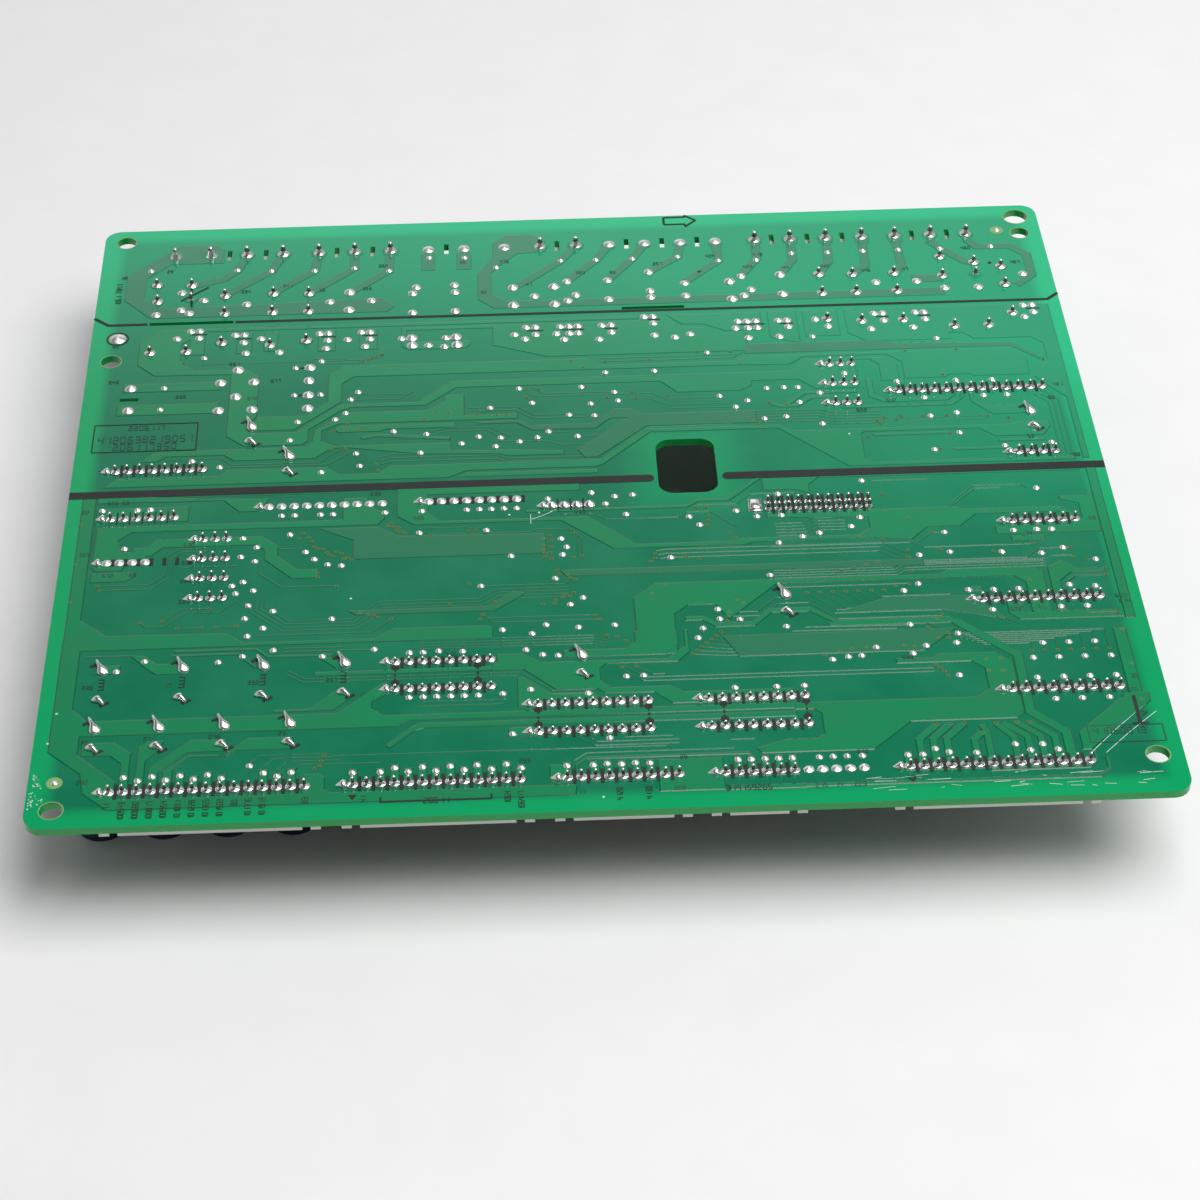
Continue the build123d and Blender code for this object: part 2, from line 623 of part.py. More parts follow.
# --- Driver chips: a moulded body, and a row of bent legs on each side ---------------------------
def make_driver_chip(label, first_x, centre_y, columns):
    """Body of a chip with two rows of legs, drafted from its mid height to both faces."""
    length = (columns - 1) * chip_pitch + 2 * chip_end
    centre = (first_x + (columns - 1) * chip_pitch / 2, centre_y)
    middle = chip_stand_off + chip_body_height / 2
    with BuildPart() as chip:
        for drop in (chip_stand_off, chip_stand_off + chip_body_height):
            with BuildSketch(board_plane(middle)):
                with Locations(centre):
                    Rectangle(length, chip_body_width)
            with BuildSketch(board_plane(drop)):
                with Locations(centre):
                    Rectangle(length - 2 * chip_draft, chip_body_width - 2 * chip_draft)
            loft()
        with BuildSketch(board_plane(chip_stand_off + chip_body_height)):
            with Locations((centre[0] - length / 2 + chip_draft, centre_y)):
                Circle(chip_notch_diameter / 2)
        extrude(amount=chip_draft, mode=Mode.SUBTRACT)
    write(chip, label)


for label, (first_x, centre_y, columns) in driver_chips.items():
    make_driver_chip(label, first_x, centre_y, columns)

leg_reach = chip_row_spread / 2 + leg_thickness / 2 - chip_body_width / 2
leg_drop = chip_stand_off + chip_body_height / 2
with BuildPart() as chip_leg:
    with BuildSketch(Plane.XZ):
        with BuildLine():
            Polyline(
                (chip_body_width / 2, -leg_drop - leg_thickness / 2),
                (chip_body_width / 2 + leg_reach, -leg_drop - leg_thickness / 2),
                (chip_body_width / 2 + leg_reach, 0),
                (chip_body_width / 2 + leg_reach - leg_thickness, 0),
                (chip_body_width / 2 + leg_reach - leg_thickness, -leg_drop + leg_thickness / 2),
                (chip_body_width / 2, -leg_drop + leg_thickness / 2),
                close=True,
            )
        make_face()
    extrude(amount=leg_width / 2, both=True)

chip_leg_places = [
    Location((x, y, 0), (0, 0, turn))
    for first_x, centre_y, columns in driver_chips.values()
    for x, y in row(first_x, centre_y, columns, chip_pitch)
    for turn in (90, -90)
]
controller_row = (controller_legs_per_side - 1) * controller_pitch
controller_leg_offset = (controller_size + controller_leg_reach) / 2
controller_leg_places = [
    Location((*controller_centre, 0), (0, 0, turn))
    * Location((controller_leg_offset, number * controller_pitch - controller_row / 2, 0))
    for turn in (0, 90, 180, 270)
    for number in range(controller_legs_per_side)
]
with BuildPart(board_plane()) as chip_legs:
    with Locations(*chip_leg_places):
        add(chip_leg.part)
    with Locations(*controller_leg_places):
        Box(controller_leg_reach, controller_leg_width, controller_leg_thickness, align=hanging)
write(chip_legs, "chip_legs")

# --- Controller chip -----------------------------------------------------------------------------
with BuildPart(board_plane()) as controller_chip:
    with Locations(below(controller_centre, controller_stand_off)):
        Box(controller_size, controller_size, controller_height, align=hanging)
    chamfer(controller_chip.edges().filter_by(Axis.Z), controller_chamfer)
write(controller_chip, "controller_chip")

# --- Regulators and transistors: a moulded body on three leads, with a metal tab beyond it -------
tab_offset = (regulator_thickness - regulator_tab_thickness) / 2
with BuildPart() as regulator:
    with Locations((0, 0, -regulator_lead_length)):
        Box(
            regulator_width,
            regulator_thickness,
            regulator_body_height,
            align=hanging,
        )
    with Locations((0, tab_offset, -regulator_lead_length - regulator_body_height)):
        Box(
            regulator_width,
            regulator_tab_thickness,
            regulator_tab_height,
            align=hanging,
        )
    chamfer(regulator.edges().filter_by(Axis.Y).group_by(Axis.Z)[0], regulator_tab_chamfer)
    with Locations(*[(side * lead_pitch, 0, 0) for side in (-1, 0, 1)]):
        Box(
            regulator_lead_width,
            regulator_lead_thickness,
            regulator_lead_length,
            align=hanging,
        )

with BuildPart(board_plane()) as regulator_group:
    with Locations(*regulators):
        add(regulator.part)
write(regulator_group, "regulators")


# --- Small parts that lie between two leads ------------------------------------------------------
def make_lying_part(diameter, length):
    """Many-sided body that lies flat against the board, along X."""
    with BuildPart() as body:
        with BuildSketch(Plane.YZ.offset(-length / 2)):
            with Locations((0, -diameter / 2)):
                RegularPolygon(
                    diameter / 2,
                    lying_part_sides,
                    major_radius=False,
                    rotation=180 / lying_part_sides,
                )
        extrude(amount=length)
    return body.part


with BuildPart(board_plane()) as resistor_group:
    with Locations(*[Location((x, y, 0), (0, 0, angle)) for (x, y), angle in resistors]):
        add(make_lying_part(resistor_diameter, resistor_length))
write(resistor_group, "resistors")

with BuildPart(board_plane()) as diode_group:
    with Locations(*[Location((x, y, 0), (0, 0, angle)) for (x, y), angle in diodes]):
        add(make_lying_part(diode_diameter, diode_length))
write(diode_group, "diodes")


# --- Solder joints -------------------------------------------------------------------------------
def solder_cone(radius, height, sides=cone_sides):
    """Joint on the solder side, from its pad to the tip of its lead."""
    with BuildPart() as cone:
        with BuildSketch():
            RegularPolygon(radius, sides)
        loft([cone.pending_faces[0], Vertex(0, 0, height)])
    return cone.part


def thief_pad():
    """Drop of spare solder left of a row, drawn to a point."""
    with BuildPart() as drop:
        with BuildSketch():
            with BuildLine():
                Polyline(
                    (-thief_length / 2, 0),
                    (thief_length / 2, -thief_width / 2),
                    (thief_length / 2, thief_width / 2),
                    close=True,
                )
            make_face()
        loft([drop.pending_faces[0], Vertex(thief_peak_offset, 0, thief_height)])
    return drop.part


def bent_joint(angle):
    """Joint of a lead that was bent down over the board before it was soldered."""
    with BuildPart() as joint:
        add(solder_cone(bent_joint_radius, bent_joint_height, small_cone_sides))
        with Locations(Location((0, 0, 0), (0, 0, angle))):
            with Locations((bent_lead_length / 2, 0, 0)):
                Box(bent_lead_length, bent_lead_width, bent_lead_height, align=rising)
    return joint.part


solder_plane = board_plane(-board_thickness)
bent_lead_groups = [
    (choke_lead_spread, chokes),
    (capacitor_lead_spread, tall_capacitors),
    (capacitor_lead_spread, small_capacitors),
]


def write_joints(label, *groups):
    """One node of separate joints: each group is a cone and the places where it stands."""
    with BuildPart(solder_plane) as joints:
        for cone, places in groups:
            with Locations(*places):
                add(cone)
    write(joints, label)


chip_joint_places = [
    (x, y + side * chip_row_spread / 2)
    for first_x, y, columns in driver_chips.values()
    for x, _ in row(first_x, y, columns, chip_pitch)
    for side in (-1, 1)
]
regulator_joint_places = [(x + side * lead_pitch, y) for x, y in regulators for side in (-1, 0, 1)]
spare_places = [
    place for x, y, count in [*spare_rows, spare_row_end] for place in row(x, y, count, pin_pitch)
]
first_joints = [(x, y, pin_joint_radius) for x, y, _ in [*wafers.values(), *spare_rows]]
first_joints += [
    (x, y + side * chip_row_spread / 2, chip_joint_radius)
    for x, y, _ in driver_chips.values()
    for side in (-1, 1)
]
first_joints += [(x - lead_pitch, y, chip_joint_radius) for x, y in regulators]
thief_places = [(x - radius - thief_gap - thief_length / 2, y) for x, y, radius in first_joints]

write_joints(
    "pin_joints",
    (solder_cone(pin_joint_radius, pin_joint_height), wafer_pin_places),
    (solder_cone(header_joint_radius, pin_joint_height), header_places),
    (solder_cone(chip_joint_radius, pin_joint_height), regulator_joint_places),
)
write_joints("chip_joints", (solder_cone(chip_joint_radius, chip_joint_height), chip_joint_places))
power_joint_places = [(x, power_row_y) for x in power_joint_row]
write_joints("power_joints", (solder_cone(power_joint_radius, power_joint_height), power_joint_places))
write_joints("relay_joints", (solder_cone(relay_joint_radius, relay_joint_height), relay_leads))
small_cone = solder_cone(small_joint_radius, small_joint_height, small_cone_sides)
write_joints("small_joints", (small_cone, small_leads))
spare_power_places = [(x, power_row_y) for x in spare_power_pads]
write_joints(
    "spare_joints",
    (solder_cone(spare_joint_radius, spare_joint_height), spare_places),
    (solder_cone(spare_power_radius, spare_power_height), spare_power_places),
    (solder_cone(large_pad_radius, large_pad_height), large_pads),
)
write_joints("thief_pads", (thief_pad(), thief_places))

rear_bends = [(x, y + spread / 2) for spread, places in bent_lead_groups for x, y in places]
front_bends = [(x, y - spread / 2) for spread, places in bent_lead_groups for x, y in places]
write_joints(
    "bent_joints",
    (bent_joint(rear_bend_angle), rear_bends),
    (bent_joint(front_bend_angle), front_bends),
)
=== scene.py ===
# %% [markdown]
# # Main circuit board, soldered side up
# The board lies on its relays and capacitors, so what shows is the soldered side: lacquered copper, black
# print and several hundred solder joints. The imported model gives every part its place, and this script
# gives the looks: the copper under the lacquer, the print, and solder that flows up its leads.

# %% Load the frame
import json
import math
import random

import bmesh
import bpy
from mathutils import Matrix, Vector


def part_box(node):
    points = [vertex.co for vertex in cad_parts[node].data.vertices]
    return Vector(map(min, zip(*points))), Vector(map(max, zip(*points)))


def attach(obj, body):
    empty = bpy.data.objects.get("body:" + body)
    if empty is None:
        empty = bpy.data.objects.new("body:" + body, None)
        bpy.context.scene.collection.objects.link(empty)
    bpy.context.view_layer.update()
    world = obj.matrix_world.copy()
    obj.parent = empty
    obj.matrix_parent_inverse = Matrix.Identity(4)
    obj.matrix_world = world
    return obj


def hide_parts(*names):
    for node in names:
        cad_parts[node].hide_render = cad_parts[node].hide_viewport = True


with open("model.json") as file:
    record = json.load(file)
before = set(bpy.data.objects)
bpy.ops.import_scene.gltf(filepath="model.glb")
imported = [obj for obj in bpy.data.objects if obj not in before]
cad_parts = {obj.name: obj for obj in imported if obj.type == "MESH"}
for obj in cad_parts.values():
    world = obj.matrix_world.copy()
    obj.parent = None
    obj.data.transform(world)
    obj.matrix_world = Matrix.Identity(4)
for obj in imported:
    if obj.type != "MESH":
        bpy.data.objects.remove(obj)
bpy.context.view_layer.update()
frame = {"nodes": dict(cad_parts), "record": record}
print("nodes:", len(frame["nodes"]))

# %% [markdown]
# ## Places on the board
# A board is drawn in millimetres from one corner, so every print and track below is given that way.
# `spot` turns such a place into metres in the frame of the model.

# %% Places on the board
mm = 0.001
board_low, board_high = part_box("circuit_board")
board_width = (board_high.x - board_low.x) / mm
board_depth = (board_high.y - board_low.y) / mm
board_top = board_high.z
dice = random.Random(7)


def spot(x, y, z=0.0):
    """Place on the board: x and y from its front left corner, z above its soldered side, all in mm."""
    return Vector((board_low.x + x * mm, board_low.y + y * mm, board_top + z * mm))


print("board:", round(board_width, 1), "by", round(board_depth, 1), "mm")

# %% [markdown]
# ## Building meshes
# Copper, print and solder are many small shapes of one finish, so each kind is gathered into one mesh.
# `Shapes` collects them: plates with sloped edges for tracks and print, and turned profiles for solder.

# %% Building meshes
sharpest_corner = 0.35


def in_scene(name, data):
    """New object of the scene, from the data of a mesh, a lamp or a camera."""
    thing = bpy.data.objects.new(name, data)
    bpy.context.scene.collection.objects.link(thing)
    return thing


def signed_area(outline):
    """Area of an outline, positive when it runs anticlockwise."""
    pairs = zip(outline, outline[1:] + outline[:1])
    return sum(ax * by - bx * ay for (ax, ay), (bx, by) in pairs) / 2


def pushed(corner, before, after, distance):
    """A corner between two directions, moved so that both lines beside it move right by the distance."""
    normal = Vector((before.y + after.y, -before.x - after.x))
    if normal.length < 1e-6:
        normal = Vector((before.y, -before.x))
    normal.normalize()
    spread = max(sharpest_corner, normal.dot(Vector((before.y, -before.x))))
    return tuple(corner + normal * distance / spread)


def directions(starts, ends):
    """Directions from each of the starts to each of the ends."""
    return [(end - start).normalized() for start, end in zip(starts, ends)]


def shifted(outline, distance):
    """The outline moved outwards by a distance, or inwards where it is negative."""
    corners = [Vector(point) for point in outline]
    ways = directions(corners, corners[1:] + corners[:1])
    return [pushed(corner, ways[i - 1], ways[i], distance) for i, corner in enumerate(corners)]


def side_line(points, distance):
    """A line beside a line of points, to its right by the distance."""
    corners = [Vector(point) for point in points]
    ways = directions(corners, corners[1:])
    ways = [ways[0], *ways, ways[-1]]
    return [pushed(corner, ways[i], ways[i + 1], distance) for i, corner in enumerate(corners)]


def ribbon(points, width):
    """Outline of a track of one width along a line of points."""
    return side_line(points, width / 2) + side_line(points, -width / 2)[::-1]


def box_outline(x, y, width, depth):
    """Outline of a rectangle round a centre."""
    left, right, front, back = x - width / 2, x + width / 2, y - depth / 2, y + depth / 2
    return [(left, front), (right, front), (right, back), (left, back)]


def disc_outline(x, y, radius, sides=20):
    """Outline of a disc."""
    angles = [2 * math.pi * side / sides for side in range(sides)]
    return [(x + radius * math.cos(angle), y + radius * math.sin(angle)) for angle in angles]


def walls_between(low, high, count):
    """Faces between two rings of corners, given by the first corner of each."""
    pairs = [(side, (side + 1) % count) for side in range(count)]
    return [[low + side, low + after, high + after, high + side] for side, after in pairs]


class Shapes:
    """Gathers many small closed shapes into one piece of the object."""

    def __init__(self, name):
        self.name = name
        self.vertices = []
        self.faces = []

    def add(self, vertices, faces):
        first = len(self.vertices)
        self.vertices += vertices
        self.faces += [[first + index for index in face] for face in faces]

    def plate(self, outline, bottom, top, slope=0.0):
        """Flat plate on an outline in mm, from bottom to top, whose edge leans in by the slope."""
        if signed_area(outline) < 0:
            outline = outline[::-1]
        upper = shifted(outline, -slope) if slope else outline
        count = len(outline)
        corners = [spot(x, y, bottom) for x, y in outline] + [spot(x, y, top) for x, y in upper]
        floor = list(range(count))[::-1]
        roof = [count + i for i in range(count)]
        self.add(corners, [floor, roof, *walls_between(0, count, count)])

    def turned(self, x, y, profile, sides=14, stretch=1.0, turn=0.0, lean=(0.0, 0.0)):
        """Closed shape turned round an upright axis from a profile of (radius, height) in mm."""
        corners = []
        for radius, height in profile:
            for side in range(sides):
                angle = 2 * math.pi * side / sides
                along = radius * math.cos(angle)
                across = radius * stretch * math.sin(angle)
                px = x + along * math.cos(turn) - across * math.sin(turn) + lean[0] * height
                py = y + along * math.sin(turn) + across * math.cos(turn) + lean[1] * height
                corners.append(spot(px, py, height))
        last = sides * (len(profile) - 1)
        faces = [list(range(sides))[::-1], [last + side for side in range(sides)]]
        for ring in range(0, last, sides):
            faces += walls_between(ring, ring + sides, sides)
        self.add(corners, faces)

    def finish(self, material, slot, smooth=False, node_names=()):
        """Make the object, and let it ride on the body of the board."""
        mesh = bpy.data.meshes.new(self.name)
        mesh.from_pydata([tuple(v) for v in self.vertices], [], self.faces)
        mesh.validate()
        if smooth:
            mesh.shade_smooth()
        mesh.materials.append(material)
        piece = in_scene(self.name, mesh)
        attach(piece, "root")
        if node_names:
            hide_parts(*node_names)
        print(self.name, len(self.vertices), "vertices")


# %% [markdown]
# ## Where the joints are
# Each soldered joint in the model is a small cone of its own. The cones give the places, the pad sizes
# and the heights of their leads, so the solder below always stands on the same pads.

# %% Where the joints are


def islands(node):
    """Corners in mm of every separate solid of a node, sorted so that each run draws them alike."""
    work = bmesh.new()
    work.from_mesh(frame["nodes"][node].data)
    bmesh.ops.remove_doubles(work, verts=work.verts, dist=0.002 * mm)
    found = []
    unseen = set(work.verts)
    while unseen:
        group = {unseen.pop()}
        edge = list(group)
        while edge:
            vert = edge.pop()
            near = {link.other_vert(vert) for link in vert.link_edges} - group
            group |= near
            edge += near
        unseen -= group
        found.append(sorted(((v.co - spot(0, 0)) / mm for v in group), key=tuple))
    work.free()
    return sorted(found, key=lambda corners: tuple(corners[0]))


def joints_of(node):
    """Centre x and y, pad radius and height of every separate cone of a node, in mm."""
    found = []
    for corners in islands(node):
        base = [corner for corner in corners if corner.z < 0.01]
        x = sum(corner.x for corner in base) / len(base)
        y = sum(corner.y for corner in base) / len(base)
        radius = max(math.hypot(corner.x - x, corner.y - y) for corner in base)
        found.append((x, y, radius, max(corner.z for corner in corners)))
    return sorted(found)


joint_nodes = ["pin_joints", "chip_joints", "power_joints", "relay_joints", "small_joints", "spare_joints"]
joints = {node: joints_of(node) for node in joint_nodes}
print("joints:", {node: len(places) for node, places in joints.items()})

# %% [markdown]
# ## Camera
# The board is seen from the front and above, about forty degrees up, through a long lens from half a
# metre away. Lamps and finishes are judged through this camera, so it comes first.

# %% Camera
camera_data = bpy.data.cameras.new("camera")
camera_data.lens = 90.65
camera_data.sensor_width = 36.0
camera_data.shift_x = 0.0285
camera = in_scene("camera", camera_data)
camera.location = (-0.016436, -0.476063, 0.397784)
look = Vector((0.018338, 0.759310, -0.650471)).normalized()
upward = Vector((0.032272, 0.649792, 0.759427)).normalized()
rightward = look.cross(upward).normalized()
upward = rightward.cross(look)
camera.rotation_mode = "QUATERNION"
camera.rotation_quaternion = Matrix((rightward, upward, -look)).transposed().to_quaternion()
bpy.context.scene.camera = camera
print("camera looks down by", round(math.degrees(math.asin(-look.z)), 1), "degrees")

# %% [markdown]
# ## Small helpers for nodes
# Light and finishes are both made of nodes. Each helper adds one node, links what goes in, and gives back
# the socket that comes out, so a line below reads like a sum.

# %% Small helpers for nodes


def feed(tree, socket, value):
    """Sets a socket to a number or a colour, or links another socket to it."""
    if isinstance(value, tuple):
        socket.default_value = (*value, 1)
    elif isinstance(value, (int, float)):
        socket.default_value = value
    else:
        tree.links.new(value, socket)


def math_node(tree, operation, first, second):
    """Sum, product or the like of two sockets or numbers."""
    node = tree.nodes.new("ShaderNodeMath")
    node.operation = operation
    feed(tree, node.inputs[0], first)
    feed(tree, node.inputs[1], second)
    return node.outputs["Value"]


def mix_colour(tree, share, first, second):
    """Mix of two colours by a share."""
    node = tree.nodes.new("ShaderNodeMix")
    node.data_type = "RGBA"
    for socket, value in ((node.inputs[0], share), (node.inputs[6], first), (node.inputs[7], second)):
        feed(tree, socket, value)
    return node.outputs[2]


def fade(tree, value, start, end, low, high, kind="LINEAR"):
    """Goes from low to high while the value goes from start to end."""
    node = tree.nodes.new("ShaderNodeMapRange")
    node.interpolation_type = kind
    for name, number in (("From Min", start), ("From Max", end), ("To Min", low), ("To Max", high)):
        node.inputs[name].default_value = number
    tree.links.new(value, node.inputs["Value"])
    return node.outputs["Result"]


def axes_of(tree, node_kind, output):
    """The X, Y and Z of a place or direction that a node puts out."""
    source = tree.nodes.new(node_kind)
    split = tree.nodes.new("ShaderNodeSeparateXYZ")
    tree.links.new(source.outputs[output], split.inputs["Vector"])
    return split.outputs


# %% [markdown]
# ## Light
# Solder is a mirror, so it needs both bright and dark things to reflect. One broad lamp hangs overhead, a
# little to the right, and lights the near right side of every joint. The room is bright low down behind
# the board and dark in front of it, so the steep sides of the joints turn black, as they do in a studio.

# %% Light
lamp_place = Vector((0.36, -0.1, 0.95))
lamp_target = Vector((0.0, 0.0, 0.02))
lamp_data = bpy.data.lights.new("overhead_lamp", "AREA")
lamp_data.size = 0.9
lamp_data.energy = 11.0
lamp = in_scene("overhead_lamp", lamp_data)
lamp.location = lamp_place
lamp.rotation_mode = "QUATERNION"
lamp.rotation_quaternion = (lamp_target - lamp_place).normalized().to_track_quat("-Z", "Y")

world = bpy.data.worlds.new("room")
bpy.context.scene.world = world
world.use_nodes = True
room = world.node_tree
room_light = room.nodes["Background"]
way = axes_of(room, "ShaderNodeTexCoord", "Generated")
height_ramp = room.nodes.new("ShaderNodeValToRGB")
room.links.new(way["Z"], height_ramp.inputs["Fac"])
room.links.new(height_ramp.outputs["Color"], room_light.inputs["Color"])
for stop in height_ramp.color_ramp.elements:
    stop.color = (0.6, 0.6, 0.6, 1)
tones = ((0.15, 0.9), (0.52, 0.9), (0.57, 0.7), (0.62, 0.3), (0.67, 0.12), (0.76, 0.1), (0.86, 0.3))
for level, tone in tones:
    height_ramp.color_ramp.elements.new(level).color = (tone, tone, tone, 1)

# The room also dims towards the front, towards the left and towards the far right.
brighter_behind = fade(room, way["Y"], -0.75, -0.15, 0.25, 1.2)
dimmer_left = fade(room, way["X"], -0.5, 0.04, 0.5, 1.0)
dimmer_right = fade(room, way["X"], 0.04, 0.34, 1.0, 0.42)
sideways = math_node(room, "MULTIPLY", dimmer_left, dimmer_right)
room.links.new(math_node(room, "MULTIPLY", brighter_behind, sideways), room_light.inputs["Strength"])

bpy.context.scene.view_settings.view_transform = "Standard"
print("lamp:", lamp.name)

# %% [markdown]
# ## Shared surface effects
# Nothing on a board is one flat colour. One group breaks a colour up with soft clouds and fine specks,
# and gives a height for the bump, and each finish below sets its own amounts.

# %% Shared surface effects
cloud_size = 14 * mm
speck_size = 0.55 * mm


def noise(tree, size, detail):
    """Noise in the object's own coordinates, with blotches about one size across."""
    place = tree.nodes.new("ShaderNodeTexCoord")
    cloud = tree.nodes.new("ShaderNodeTexNoise")
    cloud.inputs["Scale"].default_value = 1.0 / size
    cloud.inputs["Detail"].default_value = detail
    tree.links.new(place.outputs["Object"], cloud.inputs["Vector"])
    return cloud.outputs["Fac"]


speckle = bpy.data.node_groups.new("Clouds and Specks", "ShaderNodeTree")
for name, kind, value in [
    ("Colour", "NodeSocketColor", (0.5, 0.5, 0.5, 1)),
    ("Second Colour", "NodeSocketColor", (0.4, 0.4, 0.4, 1)),
    ("Speck Share", "NodeSocketFloat", 0.1),
    ("Roughness", "NodeSocketFloat", 0.4),
]:
    speckle.interface.new_socket(name, in_out="INPUT", socket_type=kind).default_value = value
for name, kind in [
    ("Colour", "NodeSocketColor"),
    ("Roughness", "NodeSocketFloat"),
    ("Height", "NodeSocketFloat"),
]:
    speckle.interface.new_socket(name, in_out="OUTPUT", socket_type=kind)
given = speckle.nodes.new("NodeGroupInput").outputs
result = speckle.nodes.new("NodeGroupOutput").inputs
clouds = noise(speckle, cloud_size, 3.0)
specks = noise(speckle, speck_size, 2.0)
cloud_share = math_node(speckle, "MULTIPLY", math_node(speckle, "SUBTRACT", clouds, 0.3), 1.6)
speck_amount = math_node(speckle, "MULTIPLY", specks, given["Speck Share"])
share = math_node(speckle, "ADD", cloud_share, speck_amount)
share.node.use_clamp = True
rough_shift = math_node(speckle, "MULTIPLY", math_node(speckle, "SUBTRACT", clouds, 0.5), 0.25)
rough = math_node(speckle, "ADD", rough_shift, given["Roughness"])
rough.node.use_clamp = True
feed(speckle, result["Colour"], mix_colour(speckle, share, given["Colour"], given["Second Colour"]))
feed(speckle, result["Roughness"], rough)
feed(speckle, result["Height"], specks)
print("group:", speckle.name)


def finish_of(name, colour, second, roughness, speck_share=0.1, bump=0.0, metallic=0.0):
    """Material with clouds and specks in its colour and roughness, and a fine bump."""
    material = bpy.data.materials.new(name)
    material.use_nodes = True
    tree = material.node_tree
    shader = tree.nodes["Principled BSDF"]
    effect = tree.nodes.new("ShaderNodeGroup")
    effect.node_tree = speckle
    feed(tree, effect.inputs["Colour"], colour)
    feed(tree, effect.inputs["Second Colour"], second)
    feed(tree, effect.inputs["Speck Share"], speck_share)
    feed(tree, effect.inputs["Roughness"], roughness)
    tree.links.new(effect.outputs["Colour"], shader.inputs["Base Color"])
    tree.links.new(effect.outputs["Roughness"], shader.inputs["Roughness"])
    shader.inputs["Metallic"].default_value = metallic
    if bump:
        relief = tree.nodes.new("ShaderNodeBump")
        relief.inputs["Strength"].default_value = 1.0
        relief.inputs["Distance"].default_value = bump * mm
        tree.links.new(effect.outputs["Height"], relief.inputs["Height"])
        tree.links.new(relief.outputs["Normal"], shader.inputs["Normal"])
    return material


# %% [markdown]
# ## Floor
# A plain pale floor lies under the tallest parts. It keeps the soft shadow of the board.

# %% Floor
floor_finish = finish_of("pale_floor", (0.86, 0.86, 0.86), (0.83, 0.83, 0.83), 0.9, 0.02)
floor_mesh = bpy.data.meshes.new("floor")
floor_size = 6.0
floor_corners = [(x, y, 0) for x, y in box_outline(0, 0, floor_size, floor_size)]
floor_mesh.from_pydata(floor_corners, [], [(0, 1, 2, 3)])
floor_mesh.materials.append(floor_finish)
floor = in_scene("floor", floor_mesh)
print("floor at", floor.location.z)

# %% [markdown]
# ## The lacquered laminate
# The laminate is green glass cloth under a clear green lacquer. Where no copper lies on either side, a band
# round the edge and round the window is painted brighter, a painted glow of light coming through it. The
# painted glow is worked out from the distance to the edge. The lacquer is painted paler towards the back as
# painted light, and the cut sides show the bare yellow green cloth.

# %% The lacquered laminate
# Each lacquer has its green, a second green for its clouds, and a paler green for the back, which is
# painted light.
laminate_greens = ((0.002, 0.158, 0.074), (0.006, 0.200, 0.098), (0.003, 0.330, 0.150))
copper_greens = ((0.008, 0.232, 0.092), (0.014, 0.185, 0.074), (0.010, 0.308, 0.148))
bundle_greens = ((0.024, 0.185, 0.088), (0.020, 0.175, 0.086), (0.038, 0.235, 0.128))
# Painted glow near the edges of the board and the window, paler again at the back.
painted_edge_glow = (0.001, 0.335, 0.115)
painted_edge_glow_back = (0.006, 0.470, 0.210)
# Painted shade on the sloped edges of the foil plates, lighter at the back.
painted_slope_shade = (0.003, 0.105, 0.045)
painted_slope_shade_back = (0.010, 0.240, 0.115)
core_green = (0.008, 0.33, 0.066)
glow_width = 5.5 * mm
window = spot(123.95, 98.05)
window_half = (5.95 * mm, 8.75 * mm)
window_glow_start = 4.2 * mm
window_glow_share = 0.16


def edge_distance(tree):
    """How far a point is from the nearest edge of the board or of its window, in metres."""
    axes = axes_of(tree, "ShaderNodeTexCoord", "Object")
    gaps = []
    beside = []
    for i, axis in enumerate("XY"):
        gaps.append(math_node(tree, "SUBTRACT", axes[axis], board_low[i]))
        gaps.append(math_node(tree, "SUBTRACT", board_high[i], axes[axis]))
        offset = math_node(tree, "ABSOLUTE", math_node(tree, "SUBTRACT", axes[axis], window[i]), 0.0)
        beside.append(math_node(tree, "SUBTRACT", offset, window_half[i]))
    to_window = math_node(tree, "MAXIMUM", *beside)
    faint = math_node(tree, "MULTIPLY", to_window, window_glow_share)
    nearest = math_node(tree, "ADD", faint, window_glow_start)
    for gap in gaps:
        nearest = math_node(tree, "MINIMUM", nearest, gap)
    return nearest


def painted_back_light_share(tree):
    """Share of the painted light that pales the lacquer: nought at the left front and one along the back.
    """
    axes = axes_of(tree, "ShaderNodeTexCoord", "Object")
    slanted = math_node(tree, "ADD", axes["Y"], math_node(tree, "MULTIPLY", axes["X"], 0.15))
    backwards = fade(tree, slanted, spot(0, 105).y, spot(0, 186).y, 0.0, 1.0, "SMOOTHSTEP")
    to_right = fade(tree, axes["X"], spot(90, 0).x, spot(200, 0).x, 0.0, 0.45, "SMOOTHSTEP")
    past_front = fade(tree, axes["Y"], spot(0, 62).y, spot(0, 98).y, 0.0, 1.0, "SMOOTHSTEP")
    both = math_node(tree, "ADD", backwards, math_node(tree, "MULTIPLY", to_right, past_front))
    both.node.use_clamp = True
    return both


